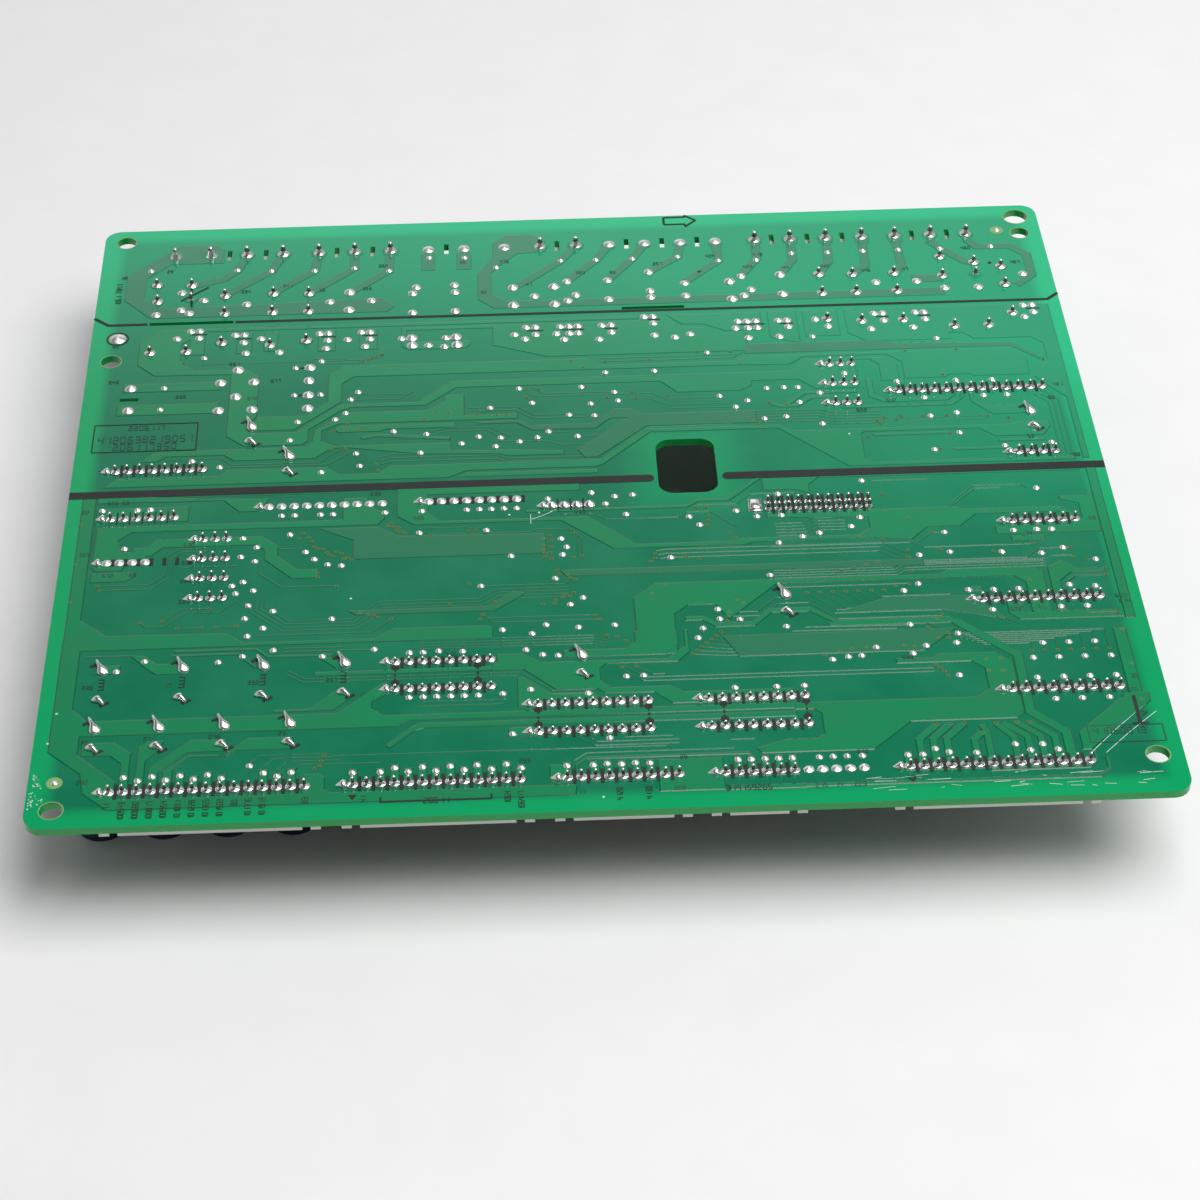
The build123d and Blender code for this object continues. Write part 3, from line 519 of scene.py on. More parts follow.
def lacquer(name, greens, glows=False):
    """Glossy green lacquer, painted paler to the back as painted light, with a painted glow near the edge
    where asked.
    """
    green, cloud, back = greens
    material = finish_of(name, green, cloud, 0.13, 0.05, 0.004)
    tree = material.node_tree
    shader = tree.nodes["Principled BSDF"]
    shader.inputs["IOR"].default_value = 1.5
    # Painted light: the lacquer is painted paler towards the back and the right.
    paler = painted_back_light_share(tree)
    base = mix_colour(tree, paler, shader.inputs["Base Color"].links[0].from_socket, back)
    # Painted shade: sloped faces are painted darker than the flat lacquer.
    tilt = axes_of(tree, "ShaderNodeNewGeometry", "True Normal")
    on_slope = math_node(tree, "LESS_THAN", tilt["Z"], 0.995)
    base = mix_colour(tree, on_slope, base, mix_colour(tree, paler, painted_slope_shade, painted_slope_shade_back))
    # Painted glow: the lacquer is painted brighter near the edge and the window, as light coming through
    # the laminate.
    if glows:
        share = math_node(tree, "DIVIDE", edge_distance(tree), glow_width)
        glow = math_node(tree, "SUBTRACT", 1.0, share)
        glow.node.use_clamp = True
        soft = math_node(tree, "SMOOTH_MIN", math_node(tree, "MULTIPLY", glow, 2.2), 1.0)
        soft.node.inputs[2].default_value = 0.6
        base = mix_colour(tree, soft, base, mix_colour(tree, paler, painted_edge_glow, painted_edge_glow_back))
    tree.links.new(base, shader.inputs["Base Color"])
    return material


laminate = lacquer("lacquered_laminate", laminate_greens, True)
copper = lacquer("lacquered_copper", copper_greens)
bundle = lacquer("lacquered_fine_tracks", bundle_greens)

# The cut sides of the board face sideways, and show bare cloth in place of lacquer.
tree = laminate.node_tree
base_socket = tree.nodes["Principled BSDF"].inputs["Base Color"]
upright = axes_of(tree, "ShaderNodeNewGeometry", "Normal")
is_side = math_node(tree, "LESS_THAN", math_node(tree, "ABSOLUTE", upright["Z"], 0.0), 0.5)
tree.links.new(mix_colour(tree, is_side, base_socket.links[0].from_socket, core_green), base_socket)
print("lacquers:", laminate.name, copper.name, bundle.name)

# %% [markdown]
# ## Print, solder and bare rims
# The print is matt black ink. Solder is bright tin, smooth but a little uneven, which the bump gives.

# %% Print, solder and bare rims
faint_ink = finish_of("faint_ink", (0.012, 0.075, 0.042), (0.010, 0.055, 0.032), 0.4, 0.3)
ink = finish_of("black_ink", (0.006, 0.008, 0.007), (0.012, 0.016, 0.013), 0.5, 0.2)
solder = finish_of("bright_solder", (0.95, 0.95, 0.94), (0.86, 0.86, 0.85), 0.21, 0.3, 0.008, 1.0)
dull_solder = finish_of("dull_solder", (0.95, 0.95, 0.94), (0.84, 0.84, 0.83), 0.34, 0.3, 0.02, 1.0)
lead_metal = finish_of("lead_metal", (0.24, 0.25, 0.23), (0.14, 0.15, 0.13), 0.3, 0.3, 0.004, 1.0)
bare_cloth = finish_of("bare_cloth", (0.22, 0.42, 0.14), (0.18, 0.36, 0.12), 0.4, 0.3)
via_rim = finish_of("covered_via", (0.10, 0.20, 0.06), (0.12, 0.15, 0.05), 0.3, 0.4)
# Near black green for the holes of the vias: painted shade in the hole.
painted_hole_shade = finish_of("painted_hole_shade", (0.01, 0.045, 0.02), (0.02, 0.06, 0.03), 0.6, 0.3)
print("finishes:", ink.name, solder.name, lead_metal.name)

# %% [markdown]
# ## Solder joints
# Solder wets the pad and climbs the lead, so a joint is a hollow cone: flat and wide at the pad, steep at
# the lead, with the cut end of the lead standing out of it. Turning one profile, a little different each
# time, gives that, and the cones of the model say where each goes.

# %% Solder joints
foot = 0.14
profile_steps = 7
leads = Shapes("cut_leads")


def hollow_cone(shapes, x, y, radius, height, lead, reach, hollow=1.9):
    """Joint with solder that climbs a lead of a radius, up to a share of the height."""
    radius *= dice.uniform(0.96, 1.02)
    climb = height * reach * dice.uniform(0.92, 1.08)
    lean = (dice.uniform(-0.05, 0.05), dice.uniform(-0.05, 0.05))
    profile = [(radius, 0.0), (radius * 0.98, foot)]
    for step in range(1, profile_steps + 1):
        share = step / profile_steps
        out = lead + (radius - lead) * (1 - share) ** hollow
        profile.append((out, foot + (climb - foot) * share**1.35))
    shapes.turned(x, y, profile, 14, dice.uniform(0.94, 1.02), dice.uniform(0, 6), lean)
    shank = [(lead * 1.2, climb - 0.2), (lead * 1.08, climb + 0.1), (lead * 0.88, height - 0.3)]
    leads.turned(x, y, shank, 12, lean=lean)
    tip = [(lead * 0.93, height - 0.38), (lead * 0.9, height - 0.16), (lead * 0.45, height)]
    shapes.turned(x, y, tip, 12, lean=lean)


def round_blob(shapes, x, y, radius, height, sides=14):
    """Joint whose lead is cut short, so the solder closes over it as a low rounded cone."""
    lean = (dice.uniform(-0.1, 0.1), dice.uniform(-0.1, 0.1))
    profile = [(radius, 0.0), (radius * 0.99, height * 0.12)]
    for step in range(1, profile_steps):
        share = step / profile_steps
        profile.append((radius * (1 - share) ** 0.8, height * (0.12 + 0.88 * share**0.85)))
    profile.append((radius * 0.08, height))
    shapes.turned(x, y, profile, sides, dice.uniform(0.93, 1.0), dice.uniform(0, 6), lean)


def stands_at(x, y, place):
    """Whether a joint stands at a place, within half a millimetre."""
    return math.hypot(x - place[0], y - place[1]) < 0.5


# The pins of the middle plug end in low lumps, and a square patch of solder lies beside the header.
pin_solder = Shapes("pin_solder")
for x, y, radius, height in joints["pin_joints"]:
    if 95 < x < 105 and 86 < y < 87:
        round_blob(pin_solder, x, y, 1.22, 0.95)
    else:
        hollow_cone(pin_solder, x, y, radius * 1.06, height, 0.33, 0.47, 1.25)
pin_solder.plate(box_outline(136.6, 84.4, 2.8, 3.8), -0.05, 0.3, 0.1)
pin_solder.plate(box_outline(136.6, 84.4, 2.5, 3.4), 0.25, 0.75, 0.5)
pin_solder.finish(solder, "solder", True, ["pin_joints"])

chip_solder = Shapes("chip_solder")
for x, y, radius, height in joints["chip_joints"]:
    hollow_cone(chip_solder, x, y, radius * 1.06, height, 0.3, 0.5, 1.25)
chip_solder.finish(solder, "solder", True, ["chip_joints"])

# Solder climbs furthest on the power blades at the left.
power_solder = Shapes("power_solder")
for x, y, radius, height in joints["power_joints"]:
    hollow_cone(power_solder, x, y, radius, height, 0.5, 0.82 if x < 27 else 0.6, 1.2)
power_solder.finish(solder, "solder", True, ["power_joints"])

# Two posts of the relays took hardly any solder.
relay_solder = Shapes("relay_solder")
dry_posts = [(20.4, 161.8), (191.3, 162.6)]
for x, y, radius, height in joints["relay_joints"]:
    if any(stands_at(x, y, post) for post in dry_posts):
        hollow_cone(relay_solder, x, y, 0.6, height, 0.42, 0.3)
    else:
        hollow_cone(relay_solder, x, y, radius, height, 0.4, 0.55, 1.3)
relay_solder.finish(solder, "solder", True, ["relay_joints"])

# The small pads are wider on the mains side than on the logic side.
small_solder = Shapes("small_solder")
for x, y, radius, height in joints["small_joints"]:
    wider = 1.3 if 153 < y < 168 else 1.15 if 141 < y < 152 else 0.88
    round_blob(small_solder, x, y, radius * wider, height * dice.uniform(1.0, 1.25), 12)
small_solder.finish(dull_solder, "solder", True, ["small_joints"])

spare_solder = Shapes("spare_solder")
fat_joint = (5.6, 147.8)
for x, y, radius, height in joints["spare_joints"]:
    round_blob(spare_solder, x, y, 1.9 if stands_at(x, y, fat_joint) else radius, height)
spare_solder.finish(dull_solder, "solder", True, ["spare_joints"])
leads.finish(lead_metal, "solder", True)

# %% [markdown]
# ## Drops and bent leads
# The wave of solder leaves the board at the left of each row, and a pad there draws off the last drop, so
# it sets as a ridged point. The legs of the tall parts are bent flat before soldering, so their joints
# are long.

# %% Drops and bent leads
arch = (0, 25, 50, 75, 90, 105, 130, 155, 180)
drop_shape = [(-0.08, 0.1, 0.06), (0.2, 0.42, 0.35), (0.5, 0.85, 0.75), (0.75, 1.05, 0.95),
              (0.94, 0.95, 0.75), (1.03, 0.6, 0.25)]
backward_bend = [(-2.0, 0.35, 0.12), (-1.8, 0.85, 0.4), (-1.2, 1.15, 0.75), (-0.6, 1.05, 0.95),
                 (0.0, 0.72, 1.05), (0.6, 0.48, 1.1)]
forward_bend = [(-1.1, 0.35, 0.12), (-0.9, 0.8, 0.4), (-0.4, 1.0, 0.85), (0.1, 0.9, 1.1), (0.6, 0.6, 1.1),
                (1.2, 0.42, 0.85), (1.7, 0.36, 0.45), (1.9, 0.25, 0.15)]


def ridge(shapes, x, y, turn, stations):
    """Long drop along a direction, from stations of (distance along, half width, height) in mm."""
    corners = []
    for along, half, top in stations:
        for angle in arch:
            across = half * math.cos(math.radians(angle))
            lift = top * math.sin(math.radians(angle)) ** 0.85 if 0 < angle < 180 else 0.0
            px = x + along * math.cos(turn) - across * math.sin(turn)
            py = y + along * math.sin(turn) + across * math.cos(turn)
            corners.append(spot(px, py, lift))
    points = len(arch)
    last = points * (len(stations) - 1)
    faces = [list(range(points))[::-1]]
    for ring in range(0, last, points):
        faces += walls_between(ring, ring + points, points)
    faces.append([last + side for side in range(points)])
    shapes.add(corners, faces)


drops = Shapes("solder_drops")
for corners in islands("thief_pads"):
    left = min(corner.x for corner in corners)
    reach = max(corner.x for corner in corners) - left
    y = sum(corner.y for corner in corners) / len(corners)
    stations = [(reach * share, half, top) for share, half, top in drop_shape]
    ridge(drops, left, y, dice.uniform(-0.06, 0.06), stations)
drops.finish(solder, "solder", True, ["thief_pads"])

bent = Shapes("bent_lead_solder")
bent_places = []
for corners in islands("bent_joints"):
    peak = max(corners, key=lambda corner: corner.z)
    reach = max((corner - peak).xy.length for corner in corners)
    ends = [corner - peak for corner in corners if (corner - peak).xy.length > reach - 0.1]
    away = sum(ends, Vector((0.0, 0.0, 0.0)))
    bent_places.append((peak.x, peak.y, math.atan2(away.y, away.x)))
for x, y, turn in bent_places:
    turn += dice.uniform(-0.06, 0.06)
    tip = dice.uniform(1.9, 2.2)
    lead_end = [(tip - 0.6, 0.4, 1.15), (tip - 0.25, 0.34, 1.1), (tip, 0.24, 0.85)]
    ridge(bent, x + 0.3, y, turn, forward_bend if turn < 0 else backward_bend + lead_end)
bent.finish(solder, "solder", True, ["bent_joints"])
print("bent joints:", len(bent_places))

# %% [markdown]
# ## Copper under the lacquer
# Tracks and pours are copper foil a twentieth of a millimetre thick, so they show as paler shapes with a
# lit edge. Each is a thin plate with a sloped edge, and the slope is painted darker as painted shade: a
# track follows a line with one width, and a pour follows its outline. Every plate stands a hair higher than
# the last one, so none share a face.

# %% Copper under the lacquer
foil = 0.05
edge_slope = 0.3
hair = 0.00012
faces_per_hair = 8


class Foil(Shapes):
    """Copper plates of one finish, each a hair higher than the one before."""

    def foil_plate(self, outline, slope):
        rise = hair * len(self.faces) / faces_per_hair
        self.plate(outline, -0.01, slope * foil / edge_slope + rise, slope)

    def pour(self, *outline):
        """Area of copper, given by its corners."""
        self.foil_plate(list(outline), edge_slope)

    def track(self, width, *points):
        """Track of one width, along a line of points."""
        self.foil_plate(ribbon(list(points), width), min(edge_slope, width * 0.4))

    def side_by_side(self, count, pitch, width, *points):
        """A count of tracks with a pitch between them, about a line of points."""
        for index in range(count):
            offset = (index - (count - 1) / 2) * pitch
            self.foil_plate(ribbon(side_line(list(points), offset), width), width * 0.4)


wide = Foil("copper_pours")
fine = Foil("copper_tracks")
brown = Foil("copper_fine_tracks")
gaps = Foil("copper_gaps")

# %% [markdown]
# ### Mains side, at the back
# The mains side has broad soft-edged ribbons from each power blade to its relay, a little wider at the
# blade.

# %% Mains side
brown.pour((17, 182.8), (14, 179.6), (8, 174), (5.8, 171), (5.8, 162), (12, 154.8), (63, 154.8), (65, 157),
           (62, 160.4), (15.5, 158.6), (10.4, 162.5), (10.4, 170), (15.4, 175.2), (27, 175.2), (27, 180.8),
           (25, 182.8))
brown.pour((82.5, 168), (82.5, 158.4), (86, 154.8), (184, 154.8), (184, 158), (89, 157.6), (85.8, 160.4),
           (85.8, 168.4), (88.2, 171.6), (91.6, 175.4), (98, 176), (98, 180.6), (95, 183.2), (89, 183.2),
           (86, 180), (86, 174.6))
terminal_ribbons = [
    [(31.9, 178), (30, 172.3), (27, 169), (21, 167)],
    [(39.9, 178), (37.5, 171.6), (30, 165), (27.8, 162.7)],
    [(47.8, 178), (47, 171.3), (40, 165), (38.3, 163)],
    [(55.7, 178), (55.7, 171.8), (47.5, 164), (46, 162.7)],
    [(63.6, 178), (63.3, 170.4), (56, 163.5), (54.8, 162.6)],
    [(104.6, 178), (101, 172.3), (93, 164.5), (90.3, 162.5)],
    [(112, 178), (108.8, 172.2), (102.1, 164.3)],
    [(119.8, 178), (116.8, 172.2), (111, 164.3)],
    [(127.7, 178), (126.8, 172.5), (120.1, 167)],
    [(135.5, 178), (135.7, 170.5), (128, 163)],
    [(144.2, 178), (144.2, 171), (140.5, 165)],
    [(152.1, 178), (152, 170), (148.8, 164.6)],
    [(160, 178), (159.8, 169), (157.3, 164.5)],
    [(168, 178), (167.7, 167), (164.7, 164)],
    [(175.4, 178), (175.6, 166), (173.7, 164)],
    [(183.3, 178), (183, 175.5), (185, 172.6), (189.5, 167.5), (191.5, 167)],
    [(191.2, 178), (191.3, 175.5), (193, 173), (200, 173), (203.5, 169.5), (203.5, 161.5), (199.5, 157.8)],
]
for line in terminal_ribbons:
    (x, y), (next_x, next_y) = line[:2]
    brown.track(2.3, *line)
    brown.track(3.4, (x, y), (x * 0.8 + next_x * 0.2, y * 0.8 + next_y * 0.2))
brown.pour((70.3, 177), (70.3, 170), (73.5, 170), (73.5, 177))
brown.pour((78, 177), (78, 170), (81.5, 170), (81.5, 177))
brown.pour((177, 163), (177, 160), (184, 160), (184, 163))
print("mains ribbons:", len(terminal_ribbons))

# %% [markdown]
# ### Relay side, behind the middle
# Below the line between mains and low voltage the copper is wider and fills most of the room.

# %% Relay side
wide.pour((10.3, 146), (14.8, 150.7), (117, 150.7), (117, 149.3), (24, 149.3), (19.6, 145), (19.6, 139),
          (22.7, 135.6), (33.6, 135.6), (36.6, 132.8), (36.6, 118.7), (34.8, 116), (34.8, 114.6),
          (35.6, 113.3), (44.6, 113.3), (53.6, 122.2), (57, 122.3), (69.5, 122.3), (76.5, 129.2),
          (139.5, 129.2), (139.5, 124.4), (137, 122.6), (123.5, 122.6), (120.3, 126.6), (77.8, 126.6),
          (71.5, 120.8), (56, 120.8), (54, 119.9), (47.4, 113.7), (47.4, 110), (46.2, 108.7), (34.2, 108.7),
          (30.3, 112.3), (30.3, 133.6), (14.3, 133.9), (10.3, 138))
wide.pour((36.4, 118.8), (46.3, 118.8), (50.8, 123.2), (50.8, 132.6), (54, 135.8), (105.5, 135.8),
          (108.2, 133.3), (136.5, 133.3), (139.5, 135.6), (139.5, 131.5), (56.4, 131.5), (54, 129.2),
          (54, 122.9), (44.4, 113.8), (36, 113.8), (35.4, 114.6))
for low, high, front in [(21, 24.5, 141), (31, 34.5, 141), (36.8, 40, 141.5), (48.3, 52.3, 141),
                        (57, 61.2, 141)]:
    wide.pour((low, 148.9), (low, front), (high, front), (high, 148.9))
wide.pour((66, 148.9), (66, 142), (67.5, 140.6), (80, 140.6), (81, 142), (81, 143.6), (69, 143.6),
          (67.4, 145), (67.4, 147.6), (85.5, 147.6), (85.5, 141.3), (97, 136.6), (139.5, 136.6),
          (139.5, 143.4), (134.5, 143.4), (130.5, 145.8), (125.6, 146.2), (121.6, 150.7), (118, 150.7),
          (118, 148.9))
wide.pour((122.6, 150.7), (126, 146.9), (131, 146.6), (135, 144), (143.3, 144), (143.3, 150.7))
for line in [
    [(117.5, 149), (117.5, 143.4), (120, 141.3), (125, 141.3)], [(86, 141), (118, 141)],
    [(24, 137.6), (57, 137.6)], [(75.2, 118.2), (57, 118.2)],
]:
    gaps.track(0.4, *line)
wide.pour((144.5, 150.8), (144.5, 141), (151, 138.7), (151, 150.8))
wide.pour((152, 150.8), (152, 141), (159.8, 141), (159.8, 150.8))
wide.pour((161, 150.8), (161, 142), (165, 138.6), (183, 138.6), (183, 141), (204, 141), (204, 150.8))
wide.pour((8, 131.5), (8, 128.3), (28.6, 128.3), (28.6, 131.5))
wide.pour((7.2, 124.2), (7.2, 120.3), (28.6, 120.3), (28.6, 124.2))
for line in [
    [(46.5, 137), (48, 138.4), (54, 138.4), (55, 137.6), (58, 137.6)],
    [(50.5, 136.6), (57, 136.6), (58.5, 137.4)], [(108, 135.5), (138, 135.5)],
    [(108, 134.4), (136, 134.4), (138.5, 136.5)], [(56.2, 123.6), (66, 123.6), (68.6, 125.8)],
    [(57.6, 126.2), (59.5, 125.2), (68, 125.2)],
]:
    fine.track(0.5, *line)
wide.pour((48.4, 113.6), (55, 119.4), (71.8, 119.4), (75, 122.3), (75.3, 124.4), (79.5, 124.4),
          (79.5, 117.3), (90.4, 117.3), (90.4, 115.3), (53.6, 115.3), (50.2, 113.2), (50.2, 109.7),
          (52.6, 108.2), (70, 108.2), (76.5, 108.2), (77, 105.4), (89, 105.2), (99.6, 104.4), (99.6, 102.9),
          (88, 102.9), (86, 103.6), (70, 104.4), (55.5, 107.2), (52.2, 107.2), (49, 104), (32.4, 104),
          (30.2, 106), (18.5, 106), (17, 104.5), (13.4, 104.5), (16.2, 108.2), (46.6, 108.2), (48, 109.8))
gaps.track(0.35, (75, 116.9), (57, 116.9))
wide.pour((52.4, 113.6), (53.6, 114.9), (77.5, 114.9), (78, 113), (63.2, 113), (62.2, 112.4), (53.3, 112.4))
wide.track(1.3, (58, 110.4), (61.5, 111.2), (76.5, 109.4))
fine.side_by_side(2, 1.1, 0.45, (63.5, 110.6), (70, 110.2), (75, 112.4), (84, 112.4), (88.5, 109))
wide.pour((6.5, 96.4), (76, 96.4), (79.8, 98.5), (106, 98.5), (107.3, 99.2), (117.4, 109.3), (139.5, 109.3),
          (139.5, 110.7), (116.6, 110.7), (106.6, 101.1), (64, 101.1), (61.6, 98.8), (53.8, 98.8),
          (51.4, 101.3), (31.2, 101.3), (29.5, 99.5), (9, 99.5))
wide.pour((79.5, 98), (77, 96.4), (106.2, 96.4), (106.2, 98))
fine.track(0.5, (18.3, 105.2), (29.8, 105.2), (32, 102.9), (49.8, 102.9), (55, 107.9))
fine.track(0.5, (29.7, 102.1), (51.6, 102.1), (57, 106.6))
fine.side_by_side(3, 1.15, 0.5, (61.8, 102.6), (64.5, 103.6), (86, 103.4), (88, 102.2), (106, 102.2))
brown.pour((103.5, 101.6), (106.2, 101.6), (116.8, 111.4), (139.5, 111.4), (139.5, 115.9), (116.2, 115.9),
           (113.6, 117.9), (110.2, 117.9), (105.4, 113.2), (93.2, 113.2), (90.6, 115), (82, 114.9),
           (82, 113.8), (90, 113.8), (93, 111.2), (106.2, 111.2), (109.4, 114.4), (112.6, 114.4),
           (102, 104.4))
for step in range(4):
    gaps.track(0.22, (104 + step * 0.7, 103), (115.3 + step * 0.7, 114.3 - step), (139, 114.6 - step))
fine.track(0.45, (91.2, 125.7), (93.8, 125.7), (96, 123.7), (110, 123.7))
fine.track(0.45, (92.4, 124), (94.6, 122.8), (118, 122.8), (121.2, 120.7), (132, 120.7))
fine.side_by_side(2, 1.1, 0.5, (80, 119), (90, 119), (93.6, 115.9), (104.5, 115.9))
for line in [
    [(113.8, 121), (117.6, 121), (121.5, 118.6), (134.6, 118.6)], [(122, 117.4), (135, 117.2)],
    [(92.6, 113.8), (96, 110.4), (100.5, 110.4)], [(103.6, 108.9), (109.5, 108.9)],
    [(85.5, 108), (96, 107.6), (99, 106.2), (107, 106.2)],
]:
    fine.track(0.45, *line)
wide.pour((138.5, 129.2), (148, 129.2), (151.5, 132.9), (168, 132.9), (170.4, 130.4), (170.4, 124.5),
          (166.3, 124.5), (166.3, 130.4), (164.6, 132.2), (161.6, 132.2), (161.6, 122.4), (152.4, 122.4),
          (149, 125.8), (138.5, 125.8))
gaps.pour((152.2, 128.8), (161.9, 128.8), (161.9, 126.4), (152.2, 126.4))
wide.track(0.9, (153, 127.6), (158.8, 127.6))
wide.pour((138.5, 134.9), (194.2, 134.9), (197.8, 131.4), (197.8, 125.2), (186, 125.2), (185, 125.9),
          (180.8, 125.9), (180, 125), (171.2, 125), (171.2, 131), (168.4, 133.7), (150.8, 133.7),
          (148, 131.2), (138.5, 131.4))
brown.pour((138.5, 139.2), (168, 139.2), (171, 137.9), (195.4, 137.1), (201, 131.2), (200.4, 130.4),
           (194.8, 135.5), (138.5, 135.5))
wide.pour((183, 150.6), (205.4, 150.6), (205.4, 96.4), (203.8, 96.4), (203.8, 117), (200.8, 120.8),
          (198.2, 124.6), (201.9, 130.4), (201.9, 136.2), (199.6, 138.4), (187.6, 138.4), (185.6, 140.6),
          (183, 141))
for line in [
    [(163.8, 139.4), (169.2, 144.6), (169.2, 147.5)], [(167.6, 139.4), (173.4, 145), (177, 145)],
    [(171.8, 139.2), (178.6, 145.6), (190, 148.4), (199, 148.4)],
    [(182.8, 143.6), (184.6, 141.4), (194, 141.4)],
]:
    gaps.track(0.5, *line)
wide.track(1.6, (163.8, 125.5), (163.8, 119.5), (166.5, 117.8), (179, 117.8), (181, 119.8))
wide.track(1.2, (146, 117.4), (150, 121.2), (161, 121.2))
wide.track(1.2, (142.6, 118), (144.5, 116.9), (148, 116.9), (151.3, 119.6), (156, 119.6))
wide.track(1.0, (157, 115.8), (180, 115.8), (182.6, 118.3), (182.6, 121.5))
wide.pour((183.8, 119.6), (183.8, 116.5), (188, 111.8), (194, 111.8), (196.8, 113), (196.8, 115.2),
          (187.6, 115.2), (185, 117.8), (185, 119.6))
wide.pour((138.5, 110.7), (144, 110.7), (146.8, 108.6), (191.6, 108.6), (192.6, 109.4), (199, 109.4),
          (199.4, 107.6), (197.4, 104.4), (187.4, 104.4), (184.4, 107.2), (161, 107.2), (160.4, 106.6),
          (160.4, 98.6), (162, 97.4), (201, 97.4), (202.6, 98.6), (202.6, 96), (156.6, 96), (143.4, 109.3),
          (138.5, 109.3))
wide.track(1.1, (162.5, 106.2), (178.5, 106.2))
wide.track(1.1, (178.3, 100.7), (189, 100.7))
wide.track(1.1, (187.8, 103.1), (197.5, 103.1))
fine.side_by_side(3, 1.1, 0.5, (198, 119.4), (201, 116), (201, 98))
brown.side_by_side(5, 0.95, 0.5, (138.5, 113.6), (152, 113.4), (155, 112.2), (165, 112.2))
brown.side_by_side(2, 1.0, 0.42, (164.5, 111), (187, 111))
brown.side_by_side(3, 1.0, 0.4, (164, 140.5), (168, 143.6), (182, 146.8))
for step in range(4):
    left = 171 + 2.4 * step
    right = 175.5 + 2.4 * step
    fine.track(0.5, (left, 137.4), (right, 141.9), (right, 145))
print("relay side pours:", len(wide.faces))

# %% [markdown]
# ### Logic side, left
# The logic side is thin tracks between wide earth bands.

# %% Logic side, left
wide.pour((2.8, 93.4), (2.8, 46), (5.8, 46), (5.8, 93.4))
wide.pour((5.8, 93.6), (5.8, 91.4), (26, 91.4), (26, 92.4), (16, 93.6))
wide.pour((16, 91.2), (31, 91.2), (34.3, 87.4), (38.5, 87.4), (40.5, 91.6), (16, 92.2))
wide.pour((6.8, 90), (6.8, 85), (24.5, 85), (24.5, 90))
wide.pour((6.3, 84), (6.3, 71.4), (7.2, 70.3), (12.4, 70.3), (13, 72), (17, 72), (17, 75.3), (12, 76.5),
          (11, 79.5), (13.5, 82), (62, 82), (63.4, 84), (63.4, 86), (60, 88.2), (60, 91), (54.8, 91),
          (54.8, 84.2), (42, 84.2), (8.2, 84.2))
wide.track(2.9, (14, 76), (17.3, 76), (19.2, 78.4), (38.6, 78.4), (41.2, 76), (41.2, 73), (46, 67.8),
           (50.7, 67.8))
wide.pour((6.3, 70), (6.3, 67), (13.5, 67), (15, 68.5), (15, 70))
wide.pour((5.8, 67), (5.8, 56), (11, 51.4), (33.5, 51.2), (37, 48.3), (61.5, 48.3), (65.2, 51), (83.5, 51),
          (84.2, 50), (84.2, 47), (62, 47), (36, 47), (5.8, 47), (5.8, 46), (2.9, 46), (2.9, 67))
wide.pour((2.7, 50), (2.7, 19.6), (9, 13.6), (9.8, 8.6), (14.6, 4), (98.3, 4), (98.6, 7), (54.3, 7),
          (53.4, 7.8), (53.4, 11), (52.3, 11.9), (49.4, 11.9), (49, 11.4), (49, 7), (15.8, 7), (15.8, 11.4),
          (8.4, 18.8), (8.4, 23.4), (66.2, 23.4), (68.4, 24.9), (139.5, 24.9), (139.5, 26.8), (63.6, 26.8),
          (61.6, 28.6), (61.6, 30.4), (64.4, 32.4), (64.4, 35.6), (63.2, 35.6), (55, 27.8), (9.2, 27.8),
          (6.5, 31), (6.5, 50))
wide.pour((63.8, 18.6), (64.8, 17.6), (69.6, 22.2), (71, 22.7), (139.5, 22.7), (139.5, 24.4), (70.2, 24.4),
          (69, 23.8))
gaps.track(0.45, (6, 90), (6, 72), (7, 70.4), (12.5, 70.4))
for line in [
    [(16.4, 92.8), (54.4, 92.8)], [(44, 85.5), (45, 84), (60.5, 84)],
    [(8, 66), (18, 66), (21, 69), (21, 74.5), (23.3, 76.6), (29, 76.6)],
    [(8.5, 64.7), (18.5, 64.7), (22, 68.3), (22, 74), (24, 75.7), (29, 75.7)],
    [(17, 54.8), (18, 53.5), (21.5, 53.5), (25.5, 57.2), (32, 57.2), (35, 60.3)],
    [(21.2, 55), (24.7, 58.4), (30, 58.4)], [(23.5, 70.9), (35, 70.9)], [(24.2, 52.8), (28.8, 52.8)],
    [(31.6, 52.8), (35.4, 52.8)], [(38.8, 71), (38.8, 68.5), (43.5, 64), (54.2, 64)],
    [(38.5, 79.5), (43, 75.6), (47.5, 75.6)],
]:
    fine.track(0.5, *line)
fine.side_by_side(4, 0.95, 0.42, (39, 61.5), (39, 57.8), (44.5, 52.6), (58, 52.6), (63, 57.4), (82, 57.4),
                  (85.5, 60), (99, 60))
fine.track(0.5, (39, 50), (61, 50), (66, 54.7))
brown.pour((57, 77.5), (50, 81.6), (62, 81.6), (66, 78.6), (95, 78), (95, 71.6), (57, 71.6))
for step in range(7):
    fine.track(0.34, (57 + 3 * step, 72 + step * 0.9), (90.5, 72 + step * 0.9), (95.5, 70.4 + step * 1.15))
for line in [
    [(70, 80.6), (79.5, 80.6), (81, 79.5)],
    [(72.3, 78.5), (92, 78.5), (93, 79.2), (99.5, 79.2), (101, 77.5), (101, 70.5)],
    [(100.5, 78), (101.8, 76), (101.8, 70.7)],
    [(98, 83.6), (104.5, 83.6), (107, 81.7), (121.3, 81.7), (123, 83.2), (127.5, 83.2), (132.5, 78)],
    [(125, 85.3), (133, 85.3), (136, 88.3), (145, 88.3)], [(82, 62.5), (98, 62.4), (100, 64)],
    [(82.8, 53), (103.7, 53)], [(82.5, 54), (84, 51.7), (104.5, 51.7)],
]:
    fine.track(0.45, *line)
